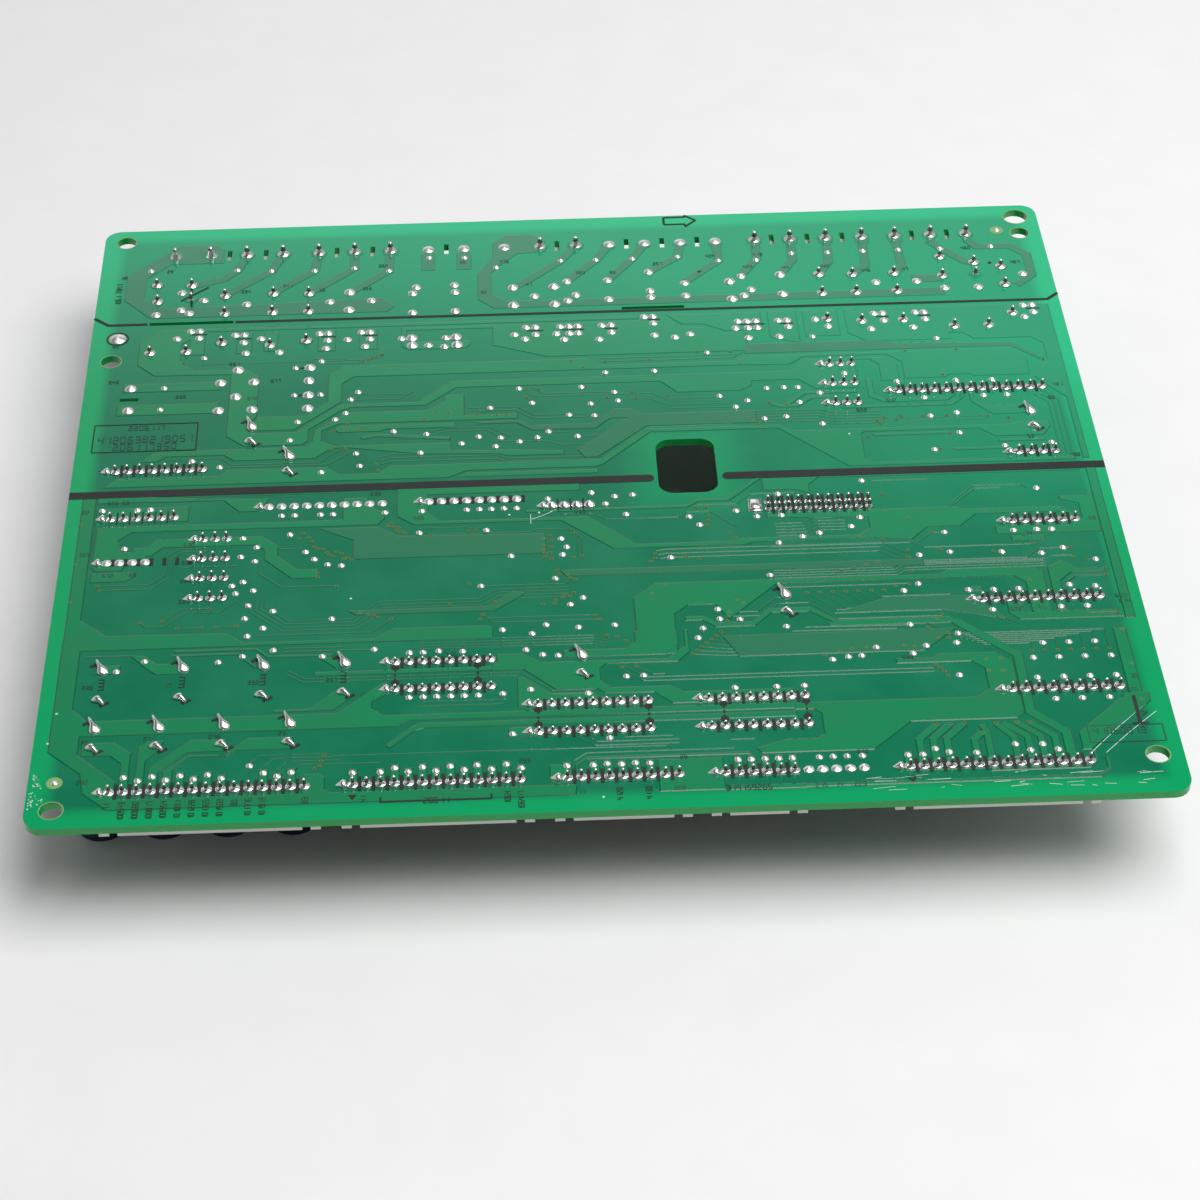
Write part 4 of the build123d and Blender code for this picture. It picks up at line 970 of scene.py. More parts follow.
wide.pour((65.5, 94), (65.5, 84.5), (69, 81.6), (98, 81.6), (108, 72.3), (134, 72.3), (135.5, 73),
          (139.5, 73), (139.5, 74.6), (133, 74.6), (131.5, 73.8), (112.8, 73.8), (103.5, 82.9), (74, 82.9),
          (72, 85.6), (72, 91), (102.3, 91), (102.3, 94))
gaps.track(0.4, (75.7, 94), (75.7, 91))
wide.track(1.1, (91, 84.9), (123, 84.9), (125.3, 86.6), (131.5, 86.6), (138.4, 93.6))
brown.pour((56, 56.6), (58, 54.9), (84.6, 54.9), (91, 60), (88, 61), (83.5, 56.6))
brown.pour((97, 66.6), (98.5, 64.4), (168, 64.4), (168, 66.6))
print("logic side, left:", len(fine.faces))

# %% [markdown]
# ### Logic side, right
# An earth band runs along the right edge, and bundles of thin tracks cross from the chips to the plugs.

# %% Logic side, right
wide.pour((111, 41), (111, 57.5), (115.5, 61.8), (170.5, 61.8), (172.3, 63.2), (189, 63.2), (190.6, 61.6),
          (190.6, 48), (188, 48), (186.5, 50), (186.5, 58.4), (184.5, 60.3), (139, 60.3), (129, 50.2),
          (126.5, 54.8), (121.5, 54.8), (118.8, 52.3), (118.8, 41))
wide.track(1.5, (120.5, 51), (124, 51), (126.5, 48.9), (133.5, 48.9), (137, 52.6), (144.5, 52.6),
           (149.5, 48.6), (170.6, 48.6), (176, 43.4))
fine.track(0.45, (128.7, 52.5), (134.5, 52.5), (138.5, 56.4), (141.5, 56.4))
fine.track(0.45, (129, 51.3), (135.5, 51.3), (138.8, 54.6), (144.5, 54.6), (149.5, 49.6), (169.5, 49.6))
fine.track(0.45, (131, 56), (131, 57.6), (134, 60.4), (139.5, 60.4))
wide.track(1.4, (147.5, 48), (171, 48), (180, 39.6))
for step in range(7):
    start = 144.4 + 2.47 * step
    turn = 149.6 + 2.0 * step
    fine.track(0.4, (start, 57.3), (turn, 52.2 + step * 0.35), (turn + 3, 52.2 + step * 0.35))
brown.pour((149, 51.2), (169.5, 51.2), (181, 48), (184, 46), (176, 55), (171.5, 55.6), (160, 55.6))
for line in [
    [(149, 51.3), (169.6, 51.3)], [(158.5, 55.7), (171.8, 55.7), (182, 46.5)],
    [(160.5, 91.3), (172, 91.3)], [(162, 81.6), (174, 81.6), (180.5, 88.7), (190, 88.7), (191, 87.5)],
    [(174.5, 81.6), (180.8, 87.8), (186, 87.8)],
]:
    fine.track(0.5, *line)
wide.pour((138.5, 82.3), (176, 82.3), (178, 81.5), (197, 81.5), (199.8, 79), (199.8, 76), (197, 75),
          (197, 79.5), (180, 79.5), (176.5, 76), (170, 76), (166.5, 72.3), (155, 73.6), (158.5, 76.5),
          (158.5, 79.6), (138.5, 80.4))
wide.pour((203.8, 94), (203.8, 47), (206, 47), (206, 94))
wide.pour((197, 84.6), (202.6, 84.6), (204, 86.2), (204, 73), (183, 73), (183, 76), (196, 76),
          (200.5, 77.5), (200.5, 82), (197, 83.4))
wide.track(1.9, (185.7, 71.7), (192.6, 71.7))
wide.pour((138.5, 93.3), (150.6, 93.3), (148, 90.4), (148, 87.6), (145, 89.1), (138.5, 89.1))
wide.track(0.8, (150, 92.9), (202.6, 92.9))
wide.track(1.4, (138.5, 73.8), (167, 73.8))
fine.side_by_side(3, 1.25, 0.42, (116.5, 70.2), (118, 70.6), (160, 70.6), (163, 68.2), (164.8, 67.2))
brown.side_by_side(5, 0.95, 0.4, (140, 76.8), (146, 76.8), (148.5, 78.2), (154, 78.2))
for line in [
    [(138.5, 71.6), (166, 71.6), (168.5, 70), (189.8, 70)], [(167, 71.2), (170.5, 74.4), (172, 74.4)],
    [(162.5, 66), (188, 66), (190.8, 68.6), (196.8, 68.6)],
    [(163, 65.2), (191, 65.2), (193, 66.2), (197, 66.2)],
]:
    fine.track(0.45, *line)
fine.side_by_side(4, 0.75, 0.36, (138.5, 63.2), (162, 63.2), (164, 64.4), (191.5, 64.4))
wide.pour((191.3, 50), (191.3, 62.8), (194.8, 65), (198, 62.2), (202.5, 62.2), (202.5, 61), (196, 61),
          (193.5, 58.5), (193.5, 50))
wide.track(0.8, (194.3, 58), (196.4, 60), (202.4, 60))
wide.pour((186.8, 57), (186.8, 49.5), (189.8, 49.5), (189.8, 57))
wide.track(1.6, (175.6, 57), (178.2, 57))
wide.pour((182, 53), (182, 49.5), (184, 47.5), (204, 47.5), (204, 48.4), (192.5, 49.8), (185.5, 49.8),
          (184.5, 53))
wide.track(1.1, (191.5, 49.4), (203, 49.4))
fine.track(0.45, (164.5, 59.3), (138.5, 59.3))
print("logic side, right:", len(wide.faces))

# %% [markdown]
# ### Front, where the plugs go
# Each plug row has short wide pads to its small joints, and the fine tracks fan out from there.

# %% Front, left and middle
fine.track(0.6, (7.5, 45.4), (17, 45.4))
wide.pour((15.6, 45.5), (18.4, 45.5), (21, 43), (26.5, 43), (26.5, 39.7), (21, 39.7), (18.9, 41.6))
wide.pour((9.3, 43), (9.3, 40.2), (14.4, 40.2), (14.4, 43))
wide.track(0.9, (23.8, 46.2), (39.5, 46.2), (41.8, 43.9), (54, 43.8))
wide.track(0.9, (23.4, 45), (36, 45), (39.8, 40.8))
wide.pour((50.8, 43.5), (53.4, 43.5), (56.4, 41), (54.6, 39.8))
fine.track(0.5, (44.5, 46.1), (56, 46))
fine.track(0.5, (44.5, 45.2), (61.7, 45))
wide.track(1.4, (50.5, 38.6), (83.2, 38.6), (86, 40.6))
fine.side_by_side(2, 0.9, 0.4, (45.4, 39.4), (48.7, 36.9), (88.6, 36.9), (94.6, 31.6), (102.6, 31.6))
wide.pour((43.2, 29.2), (49.8, 29.2), (54.4, 33.8), (57.4, 32.6), (57.2, 31.2), (54.3, 28.3), (43.2, 28.3))
wide.pour((8.7, 21.9), (14.8, 21.9), (18.1, 18.8), (18.1, 10), (16.2, 10), (16.2, 16), (14.2, 18),
          (8.7, 18.2))
wide.pour((19.1, 20.2), (20.8, 21.9), (24, 21.9), (23.4, 19.4), (20.9, 16.6), (20.9, 10), (18.9, 10))
wide.pour((21.3, 10), (21.3, 14.6), (28.5, 21.9), (35.2, 21.9), (35.8, 18.4), (28.2, 18.3), (23.4, 13.5),
          (23.4, 10))
wide.pour((23.9, 10), (23.9, 13.6), (28.3, 17.8), (34.8, 17.8), (38.9, 21.9), (47.4, 21.9), (47.4, 18.4),
          (37, 18.4), (35.4, 17), (28.8, 17), (26, 14), (26, 10))
for x, y in [joint[:2] for joint in joints["pin_joints"]]:
    for small_x, small_y in [joint[:2] for joint in joints["small_joints"]]:
        if y < 11 and abs(small_x - x) < 0.8 and 1 < small_y - y < 4.5:
            line = [(x, y - 1.2), (x, small_y - 0.5), (small_x, small_y + 1.1)]
            wide.foil_plate(ribbon(line, 1.9), 0.25)
for step in range(4):
    across = 39.6 + 2.54 * step
    rise = 17 - 0.9 * step
    fine.track(0.42, (across, 12.5), (across, rise - 2), (across + 1.6, rise), (54 + step, rise))
fine.track(0.42, (54.5, 16.3), (115, 16.3), (116.3, 15))
fine.track(0.42, (55.5, 14.2), (63.5, 14.2))
wide.pour((84.6, 42.6), (89.6, 42.6), (92.8, 40), (116.6, 40), (119.9, 43.2), (119.9, 48), (121, 48),
          (121, 41.4), (118.6, 38.8), (105.2, 38.8), (104, 37.6), (104, 34.4), (105.8, 32.4), (117, 32.4),
          (119.2, 30.6), (139.5, 30.6), (139.5, 27.3), (116.8, 27.3), (113.5, 30.5), (104.4, 30.6),
          (103, 32), (95.4, 32), (89.6, 37.8), (83.5, 37.8), (83.5, 39.3), (84.6, 40.4))
wide.pour((88.2, 36), (88.2, 27.3), (112.6, 27.3), (112.6, 29.6), (104, 29.8), (102.6, 31), (94.8, 31),
          (89.6, 36))
wide.pour((86.3, 21.8), (87, 22.4), (92, 22.4), (92, 19.6), (86.3, 19.6))
wide.track(0.9, (98.6, 9), (98.6, 11.8), (100.4, 13.6), (130.2, 13.6))
wide.track(1.4, (125.6, 4.7), (139.5, 4.7))
wide.pour((93.5, 7.4), (93.5, 12.2), (97.8, 12.2), (97.8, 7.4))
wide.pour((119, 48), (119, 43.6), (116.3, 40.9), (97, 40.9), (97, 43.2), (109, 43.2), (110.6, 44.8),
          (110.6, 48))
fine.side_by_side(4, 0.8, 0.36, (70, 46), (103, 46), (106, 44.8))
for step in range(7):
    fine.track(0.36, (121.4 + step * 0.95, 40.8 + step), (128 + step * 0.3, 40.2 + step * 0.9),
               (138, 40.2 + step * 0.9))
brown.pour((127, 45.8), (130, 39.6), (165, 39.6), (172, 46), (165, 46))
fine.track(0.42, (70, 30), (86.5, 30))
fine.track(0.42, (70, 28.8), (85.8, 28.8))
fine.side_by_side(2, 1.0, 0.42, (99.5, 19.6), (102.3, 17.4), (117.5, 17.4))
fine.track(0.42, (107.5, 18.9), (116.5, 18.9))
fine.track(0.42, (126.5, 17.3), (131.3, 17.3))
fine.track(0.42, (98, 13), (100.5, 15), (127.3, 15))
wide.pour((113, 12.7), (113, 4.2), (125, 4.2), (125, 12.7))
fine.side_by_side(2, 1.0, 0.42, (108, 37.8), (112, 34.4), (140, 34.4), (166, 34.4))
fine.track(0.42, (110.7, 37.8), (113.7, 35.7), (116, 35.7))
print("front copper:", len(wide.faces))

# %% [markdown]
# ### Front, right
# The last plug carries more current, so each of its pins has a wide ribbon that bends towards the chips.

# %% Front, right
wide.pour((139, 26.6), (173, 26.6), (175.2, 28.7), (175.2, 34.2), (173, 36.2), (159, 36.2), (159, 37.8),
          (166, 37.8), (167.3, 38.8), (178, 38.8), (181, 36), (181, 21.5), (179.5, 20.3), (160, 20.3),
          (152.5, 13.2), (132, 13.2), (131, 14.8), (137, 17), (142.5, 17), (143.7, 18), (143.7, 23.3),
          (142.5, 24.5), (139, 24.5))
wide.track(2.2, (171.5, 48), (182, 37.7), (182, 22), (187.7, 16.3), (187.7, 9))
plug_ribbons = [
    [(160.8, 10), (160.8, 15.5), (164.6, 19.4)],
    [(163.3, 10), (163.3, 15.5), (167, 19.4)],
    [(165.8, 10), (165.8, 15.5), (169.5, 19.4)],
    [(170.8, 10), (170.8, 15), (172.5, 17)],
    [(173.3, 10), (173.3, 17), (172.6, 19)],
    [(178, 10), (178, 15.5), (175.2, 19.2)],
    [(180.5, 10), (180.5, 15.5), (176.5, 19.2)],
    [(182.9, 10), (182.9, 15.5), (179, 19.3)],
    [(185.4, 10), (185.4, 15.3), (181.3, 19.3)],
]
for line in plug_ribbons:
    wide.track(1.7, *line)
for step in range(7):
    across = 184.8 + 2.43 * step
    level = 41 + 0.55 * step
    fine.track(0.42, (across, 38.7), (across, level), (176 - step, level), (172 - step, level + 3.4))
wide.pour((200.8, 44.5), (200.8, 25), (203.5, 25), (203.5, 44.5))
wide.pour((189.8, 16), (200.4, 26.4), (204.6, 26.4), (204.6, 23.8), (191.6, 11.4), (189.8, 11.4))
wide.track(0.9, (172.6, 7.1), (190.5, 7.1), (192, 8.4), (192, 11.4))
wide.track(1.1, (138.5, 4.7), (192, 4.7), (194, 6.4), (194, 9.6))
fine.track(0.45, (140.5, 46.5), (160.5, 46.3))
fine.track(0.45, (143, 47.5), (163, 47.2))
fine.side_by_side(6, 0.85, 0.36, (138, 42.6), (148, 42.6), (163, 43))
print("front right copper:", len(fine.faces))

# %% [markdown]
# ### Pads under the joints
# The joints of the pins, chips, power blades and relays stand on a pad a little wider than their solder.
# The plug rows have a long pad towards the joint behind.

# %% Pads under the joints
pads = Foil("joint_pads")
pad_reach = {"pin_joints": 0.3, "chip_joints": 0.3, "power_joints": 0.5, "relay_joints": 0.3}
for node, reach in pad_reach.items():
    for x, y, radius, height in joints[node]:
        pads.plate(disc_outline(x, y, radius + reach, 14), -0.01, foil + 0.02, edge_slope)
pads.finish(copper, "laminate")

for sheet, material in ((wide, copper), (fine, copper), (brown, bundle), (gaps, laminate)):
    sheet.finish(material, "laminate")

# %% [markdown]
# ## Print
# The black print marks zones, pin numbers and part outlines, and a short bar between two pins keeps the
# solder from bridging them. Bars are drawn wherever two joints of a row stand one pitch apart.

# %% Print
ink_top = foil + 0.03
pin_pitch = 2.5


class Print(Shapes):
    """Black ink drawn as thin plates, given in mm."""

    def area(self, *outline):
        rise = hair * (len(self.faces) % 400) / faces_per_hair
        self.plate(list(outline), foil, ink_top + rise)

    def line(self, width, *points):
        self.area(*ribbon(list(points), width))

    def closed_line(self, width, *points):
        for start, end in zip(points, points[1:] + points[:1]):
            self.line(width, start, end)

    def dot(self, x, y, radius, sides=12):
        self.area(*disc_outline(x, y, radius, sides))


marks = Print("black_print")
marks.line(0.75, (0.05, 155.6), (3.2, 152.9), (11.6, 152.9))
marks.line(0.75, (30.4, 152.8), (205.5, 152.2), (207.95, 154.4))
marks.line(2.2, (0.05, 94.3), (116.1, 94.3))
marks.line(2.2, (132, 94.3), (207.95, 94.3))
for x in (116.1, 132):
    marks.dot(x, 94.3, 1.1, 14)
marks.closed_line(0.5, (124.6, 185.4), (129.3, 185.4), (129.3, 184.4), (131.7, 186.8), (129.3, 188.9),
                  (129.3, 188.2), (124.6, 188.2))
marks.closed_line(0.25, (3.3, 108.3), (24.5, 108.3), (24.5, 117.4), (3.3, 117.4))
marks.closed_line(0.3, *disc_outline(5.6, 147.8, 2.25, 24))
marks.line(0.45, (18.3, 161.3), (24, 166.2))
marks.line(0.45, (20.7, 159), (20.3, 167))
marks.line(0.7, (201.5, 18), (201.5, 25.5))
marks.line(0.4, (200, 18), (203, 18))
marks.line(0.35, (63.3, 5.2), (63.3, 4), (83.1, 4), (83.1, 5.2))
for x, y in [(58.3, 5.4), (158.4, 5.2)]:
    marks.area((x - 0.8, y + 0.6), (x + 0.8, y + 0.6), (x, y - 0.8))
marks.dot(131.2, 166.5, 0.4, 10)
marks.dot(195, 166.6, 0.4, 10)

# Bars between the joints of a row: thinner in the middle rows at the left.
for node, thickness, reach in (("pin_joints", 0.62, 3.7), ("chip_joints", 0.6, 3.0)):
    rows = {}
    for x, y, radius, height in joints[node]:
        rows.setdefault(round(y, 1), []).append(x)
    for y, across in rows.items():
        for left, right in zip(sorted(across), sorted(across)[1:]):
            if right - left < pin_pitch * 1.06 and len(across) > 3:
                middle = (left + right) / 2
                bar = 0.3 if 80 < y < 93 and middle < 120 else thickness
                marks.line(bar, (middle, y - 1.7), (middle, y + reach - 1.7))
for x, low, high in [(65.7, 35.5, 39.7), (81.1, 35.5, 39.7), (92, 22.8, 26.8), (112.3, 22.8, 26.8),
                     (126.1, 22.8, 26.8), (141.3, 22.8, 26.8)]:
    for y in (low, high):
        marks.dot(x, y, 0.8)
    for step in range(3):
        y = low + (high - low) * (step + 0.75) / 3.6
        marks.line(0.35, (x, y - 0.3), (x, y + 0.3))
for x in (11, 26, 41, 56):
    marks.line(0.2, (x + 0.5, 36.0), (x + 0.5, 39))
    for step in range(4):
        marks.line(0.2, (x - 0.5, 36.1 + step * 0.95), (x + 0.5, 36.1 + step * 0.95))
# A slanted dash lies beside each bent lead, and upright dashes part the joints of two more rows.
for x, y, turn in bent_places:
    across, up, half = (-1.15, 0.9, 0.5) if turn > 0 else (1.75, -1.2, 0.85)
    marks.line(0.7, (x + across - half, y + up - half * 0.6), (x + across + half, y + up + half * 0.6))
for x, y, count in ((9.2, 72.9, 8), (72, 89, 9)):
    for step in range(count - 1):
        middle = x + pin_pitch * (step + 0.5)
        marks.line(0.7, (middle, y - 1.1), (middle, y + 1.1))
dashes = [
    (21.4, 24.6, 148.5), (31, 34.2, 146.5), (49, 52.2, 146.3), (57.8, 61, 146.3), (93, 96.4, 146.2),
    (100.4, 105.2, 146.2), (109.6, 112.4, 146.2), (118.9, 121.6, 149), (138.4, 143.8, 146.2),
    (147, 150, 146.1), (167.8, 170.6, 147.5), (176.8, 179.6, 147.5), (200.3, 203.2, 148.9),
]
for left, right, y in dashes:
    marks.line(0.4, (left, y), (right, y))
for y in (135.3, 125.7):
    marks.line(0.5, (44, y), (46.9, y))
print("print:", len(marks.faces), "faces")

# %% [markdown]
# Small numbers stand beside the joints, drawn like stencilled digits out of straight strokes, since the
# print only numbers the parts and the pins.

# %% Numbers
digit_strokes = {
    "0": "abcdef", "1": "bc", "2": "abged", "3": "abgcd", "4": "fgbc",
    "5": "afgcd", "6": "afgedc", "7": "abc", "8": "abcdefg", "9": "abcdfg",
}
stroke_ends = {
    "a": ((0, 2), (1, 2)), "b": ((1, 2), (1, 1)), "c": ((1, 1), (1, 0)), "d": ((1, 0), (0, 0)),
    "e": ((0, 0), (0, 1)), "f": ((0, 1), (0, 2)), "g": ((0, 1), (1, 1)),
}
labels_print = Print("faint_print")


def number(text, x, y, size=1.0, upright=False, stroke=0.15, sheet=labels_print):
    """Small number with its lower left corner at a place, reading up the board where upright."""
    for index, digit in enumerate(text):
        for key in digit_strokes[digit]:
            ends = []
            for across, up in stroke_ends[key]:
                along = index * size * 0.78 + across * size * 0.48
                rise = up * size * 0.5
                ends.append((x - rise, y + along) if upright else (x + along, y + rise))
            sheet.line(stroke, *ends)


plug_places = [14.6, *(17.3 + 2.5 * step for step in range(11)), 49.9]
for index, x in enumerate(plug_places):
    short = index in (0, 9, 12)
    digits = str(71 + index) if short else str(100406 + 137 * index)
    number(digits, x + 0.5, 4.4 if short else 1.4, 1.05, True, 0.15, marks)
for x, digits in ((60.3, "41"), (86, "1064"), (88.4, "106417"), (106, "4120"), (111.2, "4130")):
    number(digits, x + 0.5, 5.9 - 0.82 * len(digits), 1.05, True, 0.15, marks)
number("20611", 71, 3.4, 1.25, False, 0.2, marks)
number("314159265", 125, 4, 1.2, False, 0.18, marks)
labels = [
    (98.6, 4.5), (115.8, 4.6), (141, 4.1), (144.5, 4.1), (148, 4.1), (7.6, 36.4), (22.8, 36.4),
    (38.4, 36.4), (52.9, 36.4), (8.6, 21.5), (20, 22), (31.9, 22), (44.6, 22.4), (8.8, 11), (88.3, 13),
    (117.3, 12.7), (149.2, 12.7), (200.6, 26.6), (14.6, 172.2), (31.2, 163.6), (40.2, 165.4), (48.2, 163.4),
    (57.6, 163.4), (61, 172), (78.8, 172.4), (87.6, 172.2), (104.2, 167), (111.6, 166.7), (121.2, 169.6),
    (133, 172), (93.2, 163.2), (143.5, 172), (141, 167.4), (149.6, 166.7), (157.8, 166.7), (166.6, 164.7),
    (175.6, 164.7), (189.5, 172.2), (199.6, 166.2), (200.2, 116.5), (201.8, 121), (201.6, 97.2),
    (194, 103.8), (166.6, 117.2), (160.2, 114.2), (11, 91.2), (8, 91.2), (24, 77.2), (24, 71.8), (24, 66.2),
    (24, 60.2), (3.2, 88.4), (3.8, 75.2), (8.8, 68.6), (14, 68.6), (69, 83.4), (101, 83.7), (202, 76.8),
    (203.2, 53.2), (203.6, 51.6), (187.8, 50.4), (182.6, 50.2), (60.4, 91.6), (188.8, 72.8), (5, 131.8),
    (19.4, 126), (5.2, 101.2), (34.4, 124.6), (39, 130.6), (4.8, 144.6), (30, 137), (160.5, 37.4), (98, 29),
    (75, 42.6),
]
for index, (x, y) in enumerate(labels):
    number(str(201 + index * 7) if index % 3 else str(11 + index), x, y, 0.95)
for index, (x, y) in enumerate([(84.4, 160.4), (4.9, 165), (5.9, 170), (203.2, 30), (203.2, 20)]):
    number(str(30 + index * 3), x, y, 1.0, True)
number("1061", 5.2, 160.5, 1.15, True)
number("41060813", 192.6, 15.4, 1.6, False, 0.2)
labels_print.closed_line(0.2, (191.6, 13.2), (205.4, 13.2), (205.4, 17.6), (191.6, 17.6))
number("2206117", 10.4, 115.4, 1.4, False, 0.2)
number("4120638219051", 4.4, 111.3, 1.95, False, 0.24)
number("206117350", 7.6, 108.9, 1.9, False, 0.24)
number("347", 5.2, 166, 1.15, True)
marks.finish(ink, "laminate")
labels_print.finish(faint_ink, "laminate")

# %% [markdown]
# ## Vias, holes and bare rims
# A via is a plated hole that carries a track through the board, here lacquered over, so it shows as a
# small dull ring, with a near black disc in its middle as painted shade in the hole. The screw holes have a
# bare rim where the copper ends.

# %% Vias, holes and bare rims


def ring_shape(shapes, x, y, inner, outer, top, sides=20):
    """Flat ring with an upright wall inside and outside."""
    corners = []
    for radius, height in ((inner, 0.0), (outer, 0.0), (outer, top), (inner, top)):
        corners += [spot(px, py, height) for px, py in disc_outline(x, y, radius, sides)]
    faces = []
    for low in range(4):
        faces += walls_between(low * sides, (low + 1) % 4 * sides, sides)
    shapes.add(corners, faces)


via_places = [
    (52, 107), (55, 107), (52.5, 113), (55, 113), (57.5, 113), (51.3, 115.5), (55.3, 115.5), (17.5, 106.8),
    (23.8, 106.8), (31, 106.8), (58.2, 137.2), (59.2, 137.7), (60.1, 138.1), (61, 138.5), (61.9, 138.9),
    (62.3, 139.3), (61.3, 101.5), (61.8, 99.5), (92.5, 125.5), (95, 125.5), (92.3, 122.5), (104.8, 125.6),
    (114.2, 123.5), (109, 121.7), (115, 121), (121.5, 121.7), (102, 134.8), (104.5, 132.3), (109.2, 134.3),
    (118.5, 134.5), (128.8, 136.8), (135.8, 136.5), (137.5, 131.9), (82, 117), (86, 116.8), (88, 116.8),
    (76, 118), (73.5, 118.3), (71, 116.3), (46.5, 78.6), (47.3, 80.2), (48.5, 78.8), (49, 77.6), (49.5, 76),
    (51.3, 75.2), (50.2, 75.3), (52, 74), (52.5, 73.4), (53.3, 72.8), (54, 74.2), (55, 73.6), (55.4, 72),
    (56.2, 72.2), (57, 71.5), (64.5, 82.6), (64, 81.7), (65, 81.3), (66, 81), (65.7, 80.2), (66.5, 79.7),
    (67.3, 79.3), (8, 66), (8.5, 64.7), (17, 54.8), (21.2, 55), (30, 58.4), (24.2, 52.8), (28.8, 52.8),
    (31.6, 52.8), (35.4, 52.8), (54.2, 63.8), (50.5, 68), (50.5, 66.8), (3.2, 85), (3.2, 72.8), (3.2, 61.6),
    (116, 70.5), (116, 69.2), (115, 68.2), (121.6, 70), (122.2, 69), (124.5, 68.5), (76, 57.3),
    (84.5, 57.7), (82.3, 54), (81.7, 52.7), (103.7, 52.8), (104.5, 51.6), (96.8, 66.5), (97.3, 65.4),
    (98.7, 65.2), (99.2, 64), (100.2, 63.5), (79.7, 63.2), (98, 59.2), (97.7, 58.4), (96.2, 57.5),
    (96, 56.6), (93.8, 56.5), (99, 58.7), (99.8, 59.6), (61.5, 54.8), (58.8, 55.6), (60.4, 55.2),
    (62.4, 54.2), (64.8, 53.6), (94.5, 76.3), (94.4, 74.3), (94.4, 73), (94.6, 71.8), (94.6, 70.6),
    (95.8, 77.2), (96, 75.4), (95.8, 73.6), (95.6, 71.8), (95.8, 70), (100.2, 77.6), (101.8, 70.6),
    (100.1, 70.2), (79.8, 79.3), (81.2, 79.5), (72.4, 78.4), (127, 81.4), (127.2, 80.2), (126.8, 78.8),
    (125, 84.6), (127, 84.4), (132, 84.4), (132, 74.6), (131, 76.2), (117.5, 61.2), (114.7, 58.7),
    (131, 56), (132, 55), (129.2, 52.5), (128.8, 51.3), (128.6, 49.9), (162.2, 86.9), (162.2, 81.7),
    (181.9, 80.7), (166.5, 79.2), (156.4, 73.7), (160.8, 72.7), (170.6, 74.4), (189.8, 70), (171.6, 69),
    (181.8, 68), (165.2, 69.2), (165, 67), (159, 66), (156.7, 65.3), (154.2, 64.3), (151.7, 63.6),
    (165, 62.8), (161.6, 58.5), (187.6, 59.2), (164.2, 59), (196.9, 68.5), (197, 65.5), (199.6, 64.6),
    (202.5, 62), (202.5, 60), (202.8, 48.8), (169.3, 50), (168.3, 48.6), (202.8, 44), (202.8, 34.3),
    (202.8, 24.3), (166.3, 46.2), (146, 39.3), (149, 40.2), (151.3, 40.8), (154, 41.2), (161.3, 41.3),
    (163, 41), (168, 43.2), (169.8, 44.5), (169.8, 43), (166.4, 35.5), (167.2, 34.7), (167.7, 33.7),
    (168.3, 32.5), (176, 36.8), (178.7, 36.8), (176, 33.5), (178.7, 33.5), (108.7, 35.2), (111.9, 35.3),
    (108, 37.8), (110.7, 37.8), (105.5, 47), (107.5, 46.3), (109, 45.2), (53, 16.4), (52.5, 15),
    (52.3, 13.8), (51.3, 13.2), (164.6, 19.4), (167, 19.4), (169.5, 19.4), (172.5, 16.8), (175.2, 19.2),
    (179, 19.3), (181.3, 19.3), (168, 111.2), (169, 112.2), (165.5, 112), (164, 111), (164.5, 110),
    (173.6, 112), (178.4, 112), (186.8, 111.4), (191, 110.6), (161.6, 105.6), (178.4, 106), (175.8, 100.8),
    (178.6, 100.7), (137.8, 113.4), (138.6, 112.4), (139.6, 111.4), (201.2, 130.4), (172.6, 134.8),
    (183.4, 134.8), (179.4, 126), (145.8, 117.4), (142.4, 118.2),
]
for x, y, pitch, slant in ((121.4, 40.8, 0.95, 1), (144.4, 57.4, 2.47, 0), (184.8, 38.7, 2.43, 0)):
    via_places += [(x + pitch * step, y + slant * step) for step in range(7)]
vias = Shapes("covered_vias")
# Each via core is a near black disc: painted shade in the hole.
via_cores = Shapes("via_cores")
for x, y in via_places:
    ring_shape(vias, x, y, 0.2, 0.42, foil + 0.02, 12)
    via_cores.plate(disc_outline(x, y, 0.2, 12), -0.01, foil + 0.004)
vias.finish(via_rim, "laminate")
via_cores.finish(painted_hole_shade, "laminate")

rims = Shapes("bare_rims")
for mount in frame["record"]["mounts"]:
    place = (Vector(mount["pos_m"]) - spot(0, 0)) / mm
    bore = mount["dims"]["r_mm"]
    ring_shape(rims, place.x, place.y, bore + 0.02, bore + 0.22, 0.02, 40)
rims.finish(bare_cloth, "laminate")
marker_rings = Shapes("marker_rings")
marker_dots = Shapes("marker_dots")
for x, y in [(4.8, 11.6), (198.3, 179.2)]:
    marker_rings.plate(disc_outline(x, y, 1.5, 28), -0.01, foil + 0.01)
    marker_dots.plate(disc_outline(x, y, 0.5, 18), -0.01, foil + 0.04, 0.08)
marker_rings.finish(bare_cloth, "laminate")
marker_dots.finish(lead_metal, "solder")
print("vias:", len(via_places), "rims:", len(rims.faces))

# %% [markdown]
# ## Scratches and flux specks
# The board has been handled: pale scratches run through the lacquer near the front right corner, faint
# ones lie along the front edge, and white specks of dried flux lie near the front left corner.

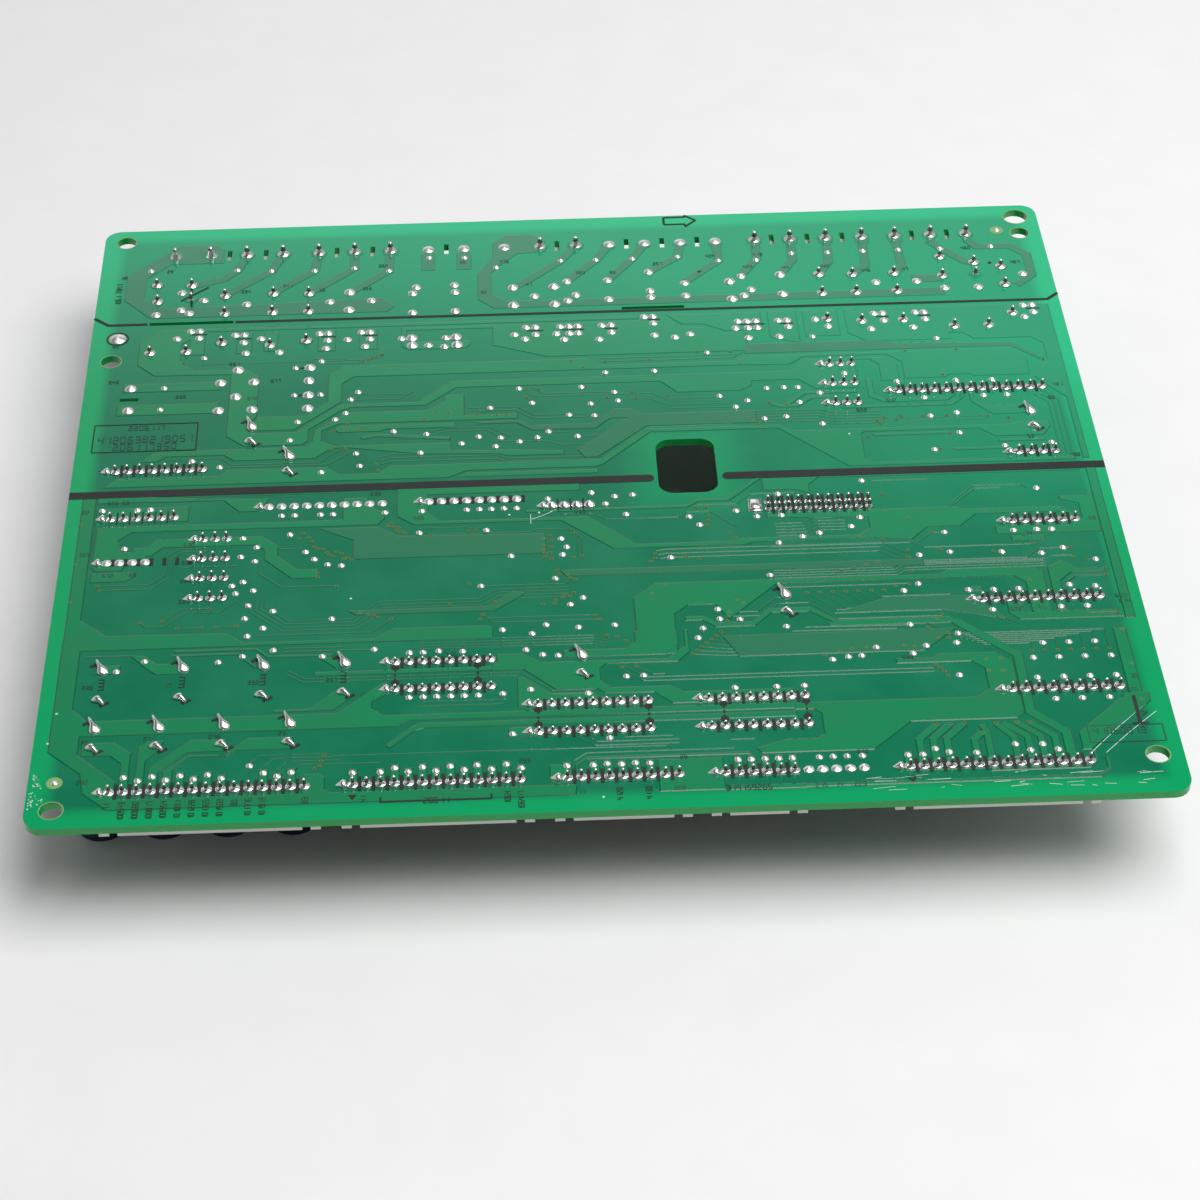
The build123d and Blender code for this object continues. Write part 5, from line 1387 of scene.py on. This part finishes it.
# %% Scratches and flux specks
flux = finish_of("dried_flux", (0.62, 0.74, 0.66), (0.5, 0.66, 0.56), 0.6, 0.3)
wear = Shapes("scratches_and_specks")
scratch_top = foil + 0.012
speck_top = foil + 0.01
scratches = [
    ((204.9, 21), (199, 15.6), (194, 10.5)), ((203.3, 23), (197, 16.8), (191, 10.3)),
    ((92.1, 84), (92.1, 81)), ((92.3, 82.4), (94.5, 83.4), (97, 85)), ((96, 84.6), (97.2, 85)),
]
for line in scratches:
    wear.plate(ribbon(list(line), 0.13), foil, scratch_top)
for index in range(34):
    x = dice.uniform(150, 200)
    y = dice.uniform(2.2, 6.4)
    length = dice.uniform(0.6, 4.5)
    rise = dice.uniform(-0.5, 0.5)
    scratch = [(x, y), (x + length, y + rise)]
    wear.plate(ribbon(scratch, dice.uniform(0.06, 0.13)), foil, scratch_top)
for index in range(46):
    x = 0.5 + abs(dice.gauss(0, 1.6))
    y = dice.uniform(5, 14)
    wear.plate(disc_outline(x, y, dice.uniform(0.07, 0.2), 7), 0.0, speck_top)
for x, y in [(3.5, 30), (2.6, 22), (87.9, 84), (157.8, 106.8), (93.8, 84.4), (103, 3.4), (57, 60)]:
    wear.plate(disc_outline(x, y, 0.25, 8), 0.0, speck_top)
wear.finish(flux, "laminate")

# %% [markdown]
# ## The parts underneath
# The parts hang below the board, so little of them shows from above, but each still gets its real finish:
# white nylon, tinned metal, black moulded cases and dark sleeves.

# %% The parts underneath
nylon = finish_of("white_nylon", (0.80, 0.79, 0.73), (0.74, 0.73, 0.67), 0.42, 0.1, 0.01)
black_moulding = finish_of("black_moulding", (0.022, 0.022, 0.024), (0.03, 0.03, 0.032), 0.45, 0.3, 0.03)
finishes = {
    "circuit_board": laminate,
    "wafer": nylon,
    "header_shroud": finish_of("header_black", (0.02, 0.02, 0.022), (0.028, 0.028, 0.03), 0.38, 0.2, 0.02),
    "pins": lead_metal,
    "chip_legs": lead_metal,
    "power_relay": finish_of("relay_case", (0.02, 0.05, 0.16), (0.025, 0.06, 0.18), 0.35, 0.1, 0.01),
    "slim_relay": finish_of("slim_relay_case", (0.018, 0.018, 0.02), (0.025, 0.025, 0.028), 0.3, 0.1, 0.01),
    "bobbin": finish_of("cream_bobbin", (0.62, 0.58, 0.47), (0.56, 0.52, 0.42), 0.45, 0.1, 0.01),
    "winding": finish_of("yellow_tape", (0.66, 0.45, 0.06), (0.6, 0.4, 0.05), 0.3, 0.1, 0.01),
    "core": finish_of("grey_ferrite", (0.045, 0.045, 0.048), (0.06, 0.06, 0.062), 0.6, 0.4, 0.04),
    "chokes": finish_of("choke_sleeve", (0.015, 0.016, 0.018), (0.02, 0.022, 0.024), 0.28, 0.1, 0.01),
    "capacitor": finish_of("capacitor_sleeve", (0.012, 0.02, 0.06), (0.016, 0.026, 0.07), 0.25, 0.1, 0.01),
    "driver_chip": black_moulding,
    "controller_chip": black_moulding,
    "regulators": black_moulding,
    "resistors": finish_of("resistor_coat", (0.42, 0.29, 0.16), (0.38, 0.26, 0.14), 0.4, 0.2, 0.01),
    "diodes": finish_of("diode_body", (0.03, 0.03, 0.03), (0.05, 0.05, 0.05), 0.3, 0.1, 0.01),
    "joints": solder,
    "thief_pads": solder,
}
for name, node in frame["nodes"].items():
    match = [finish for part, finish in finishes.items() if part in name]
    node.data.materials.clear()
    node.data.materials.append(match[0])
print("nodes with a finish:", len(frame["nodes"]))
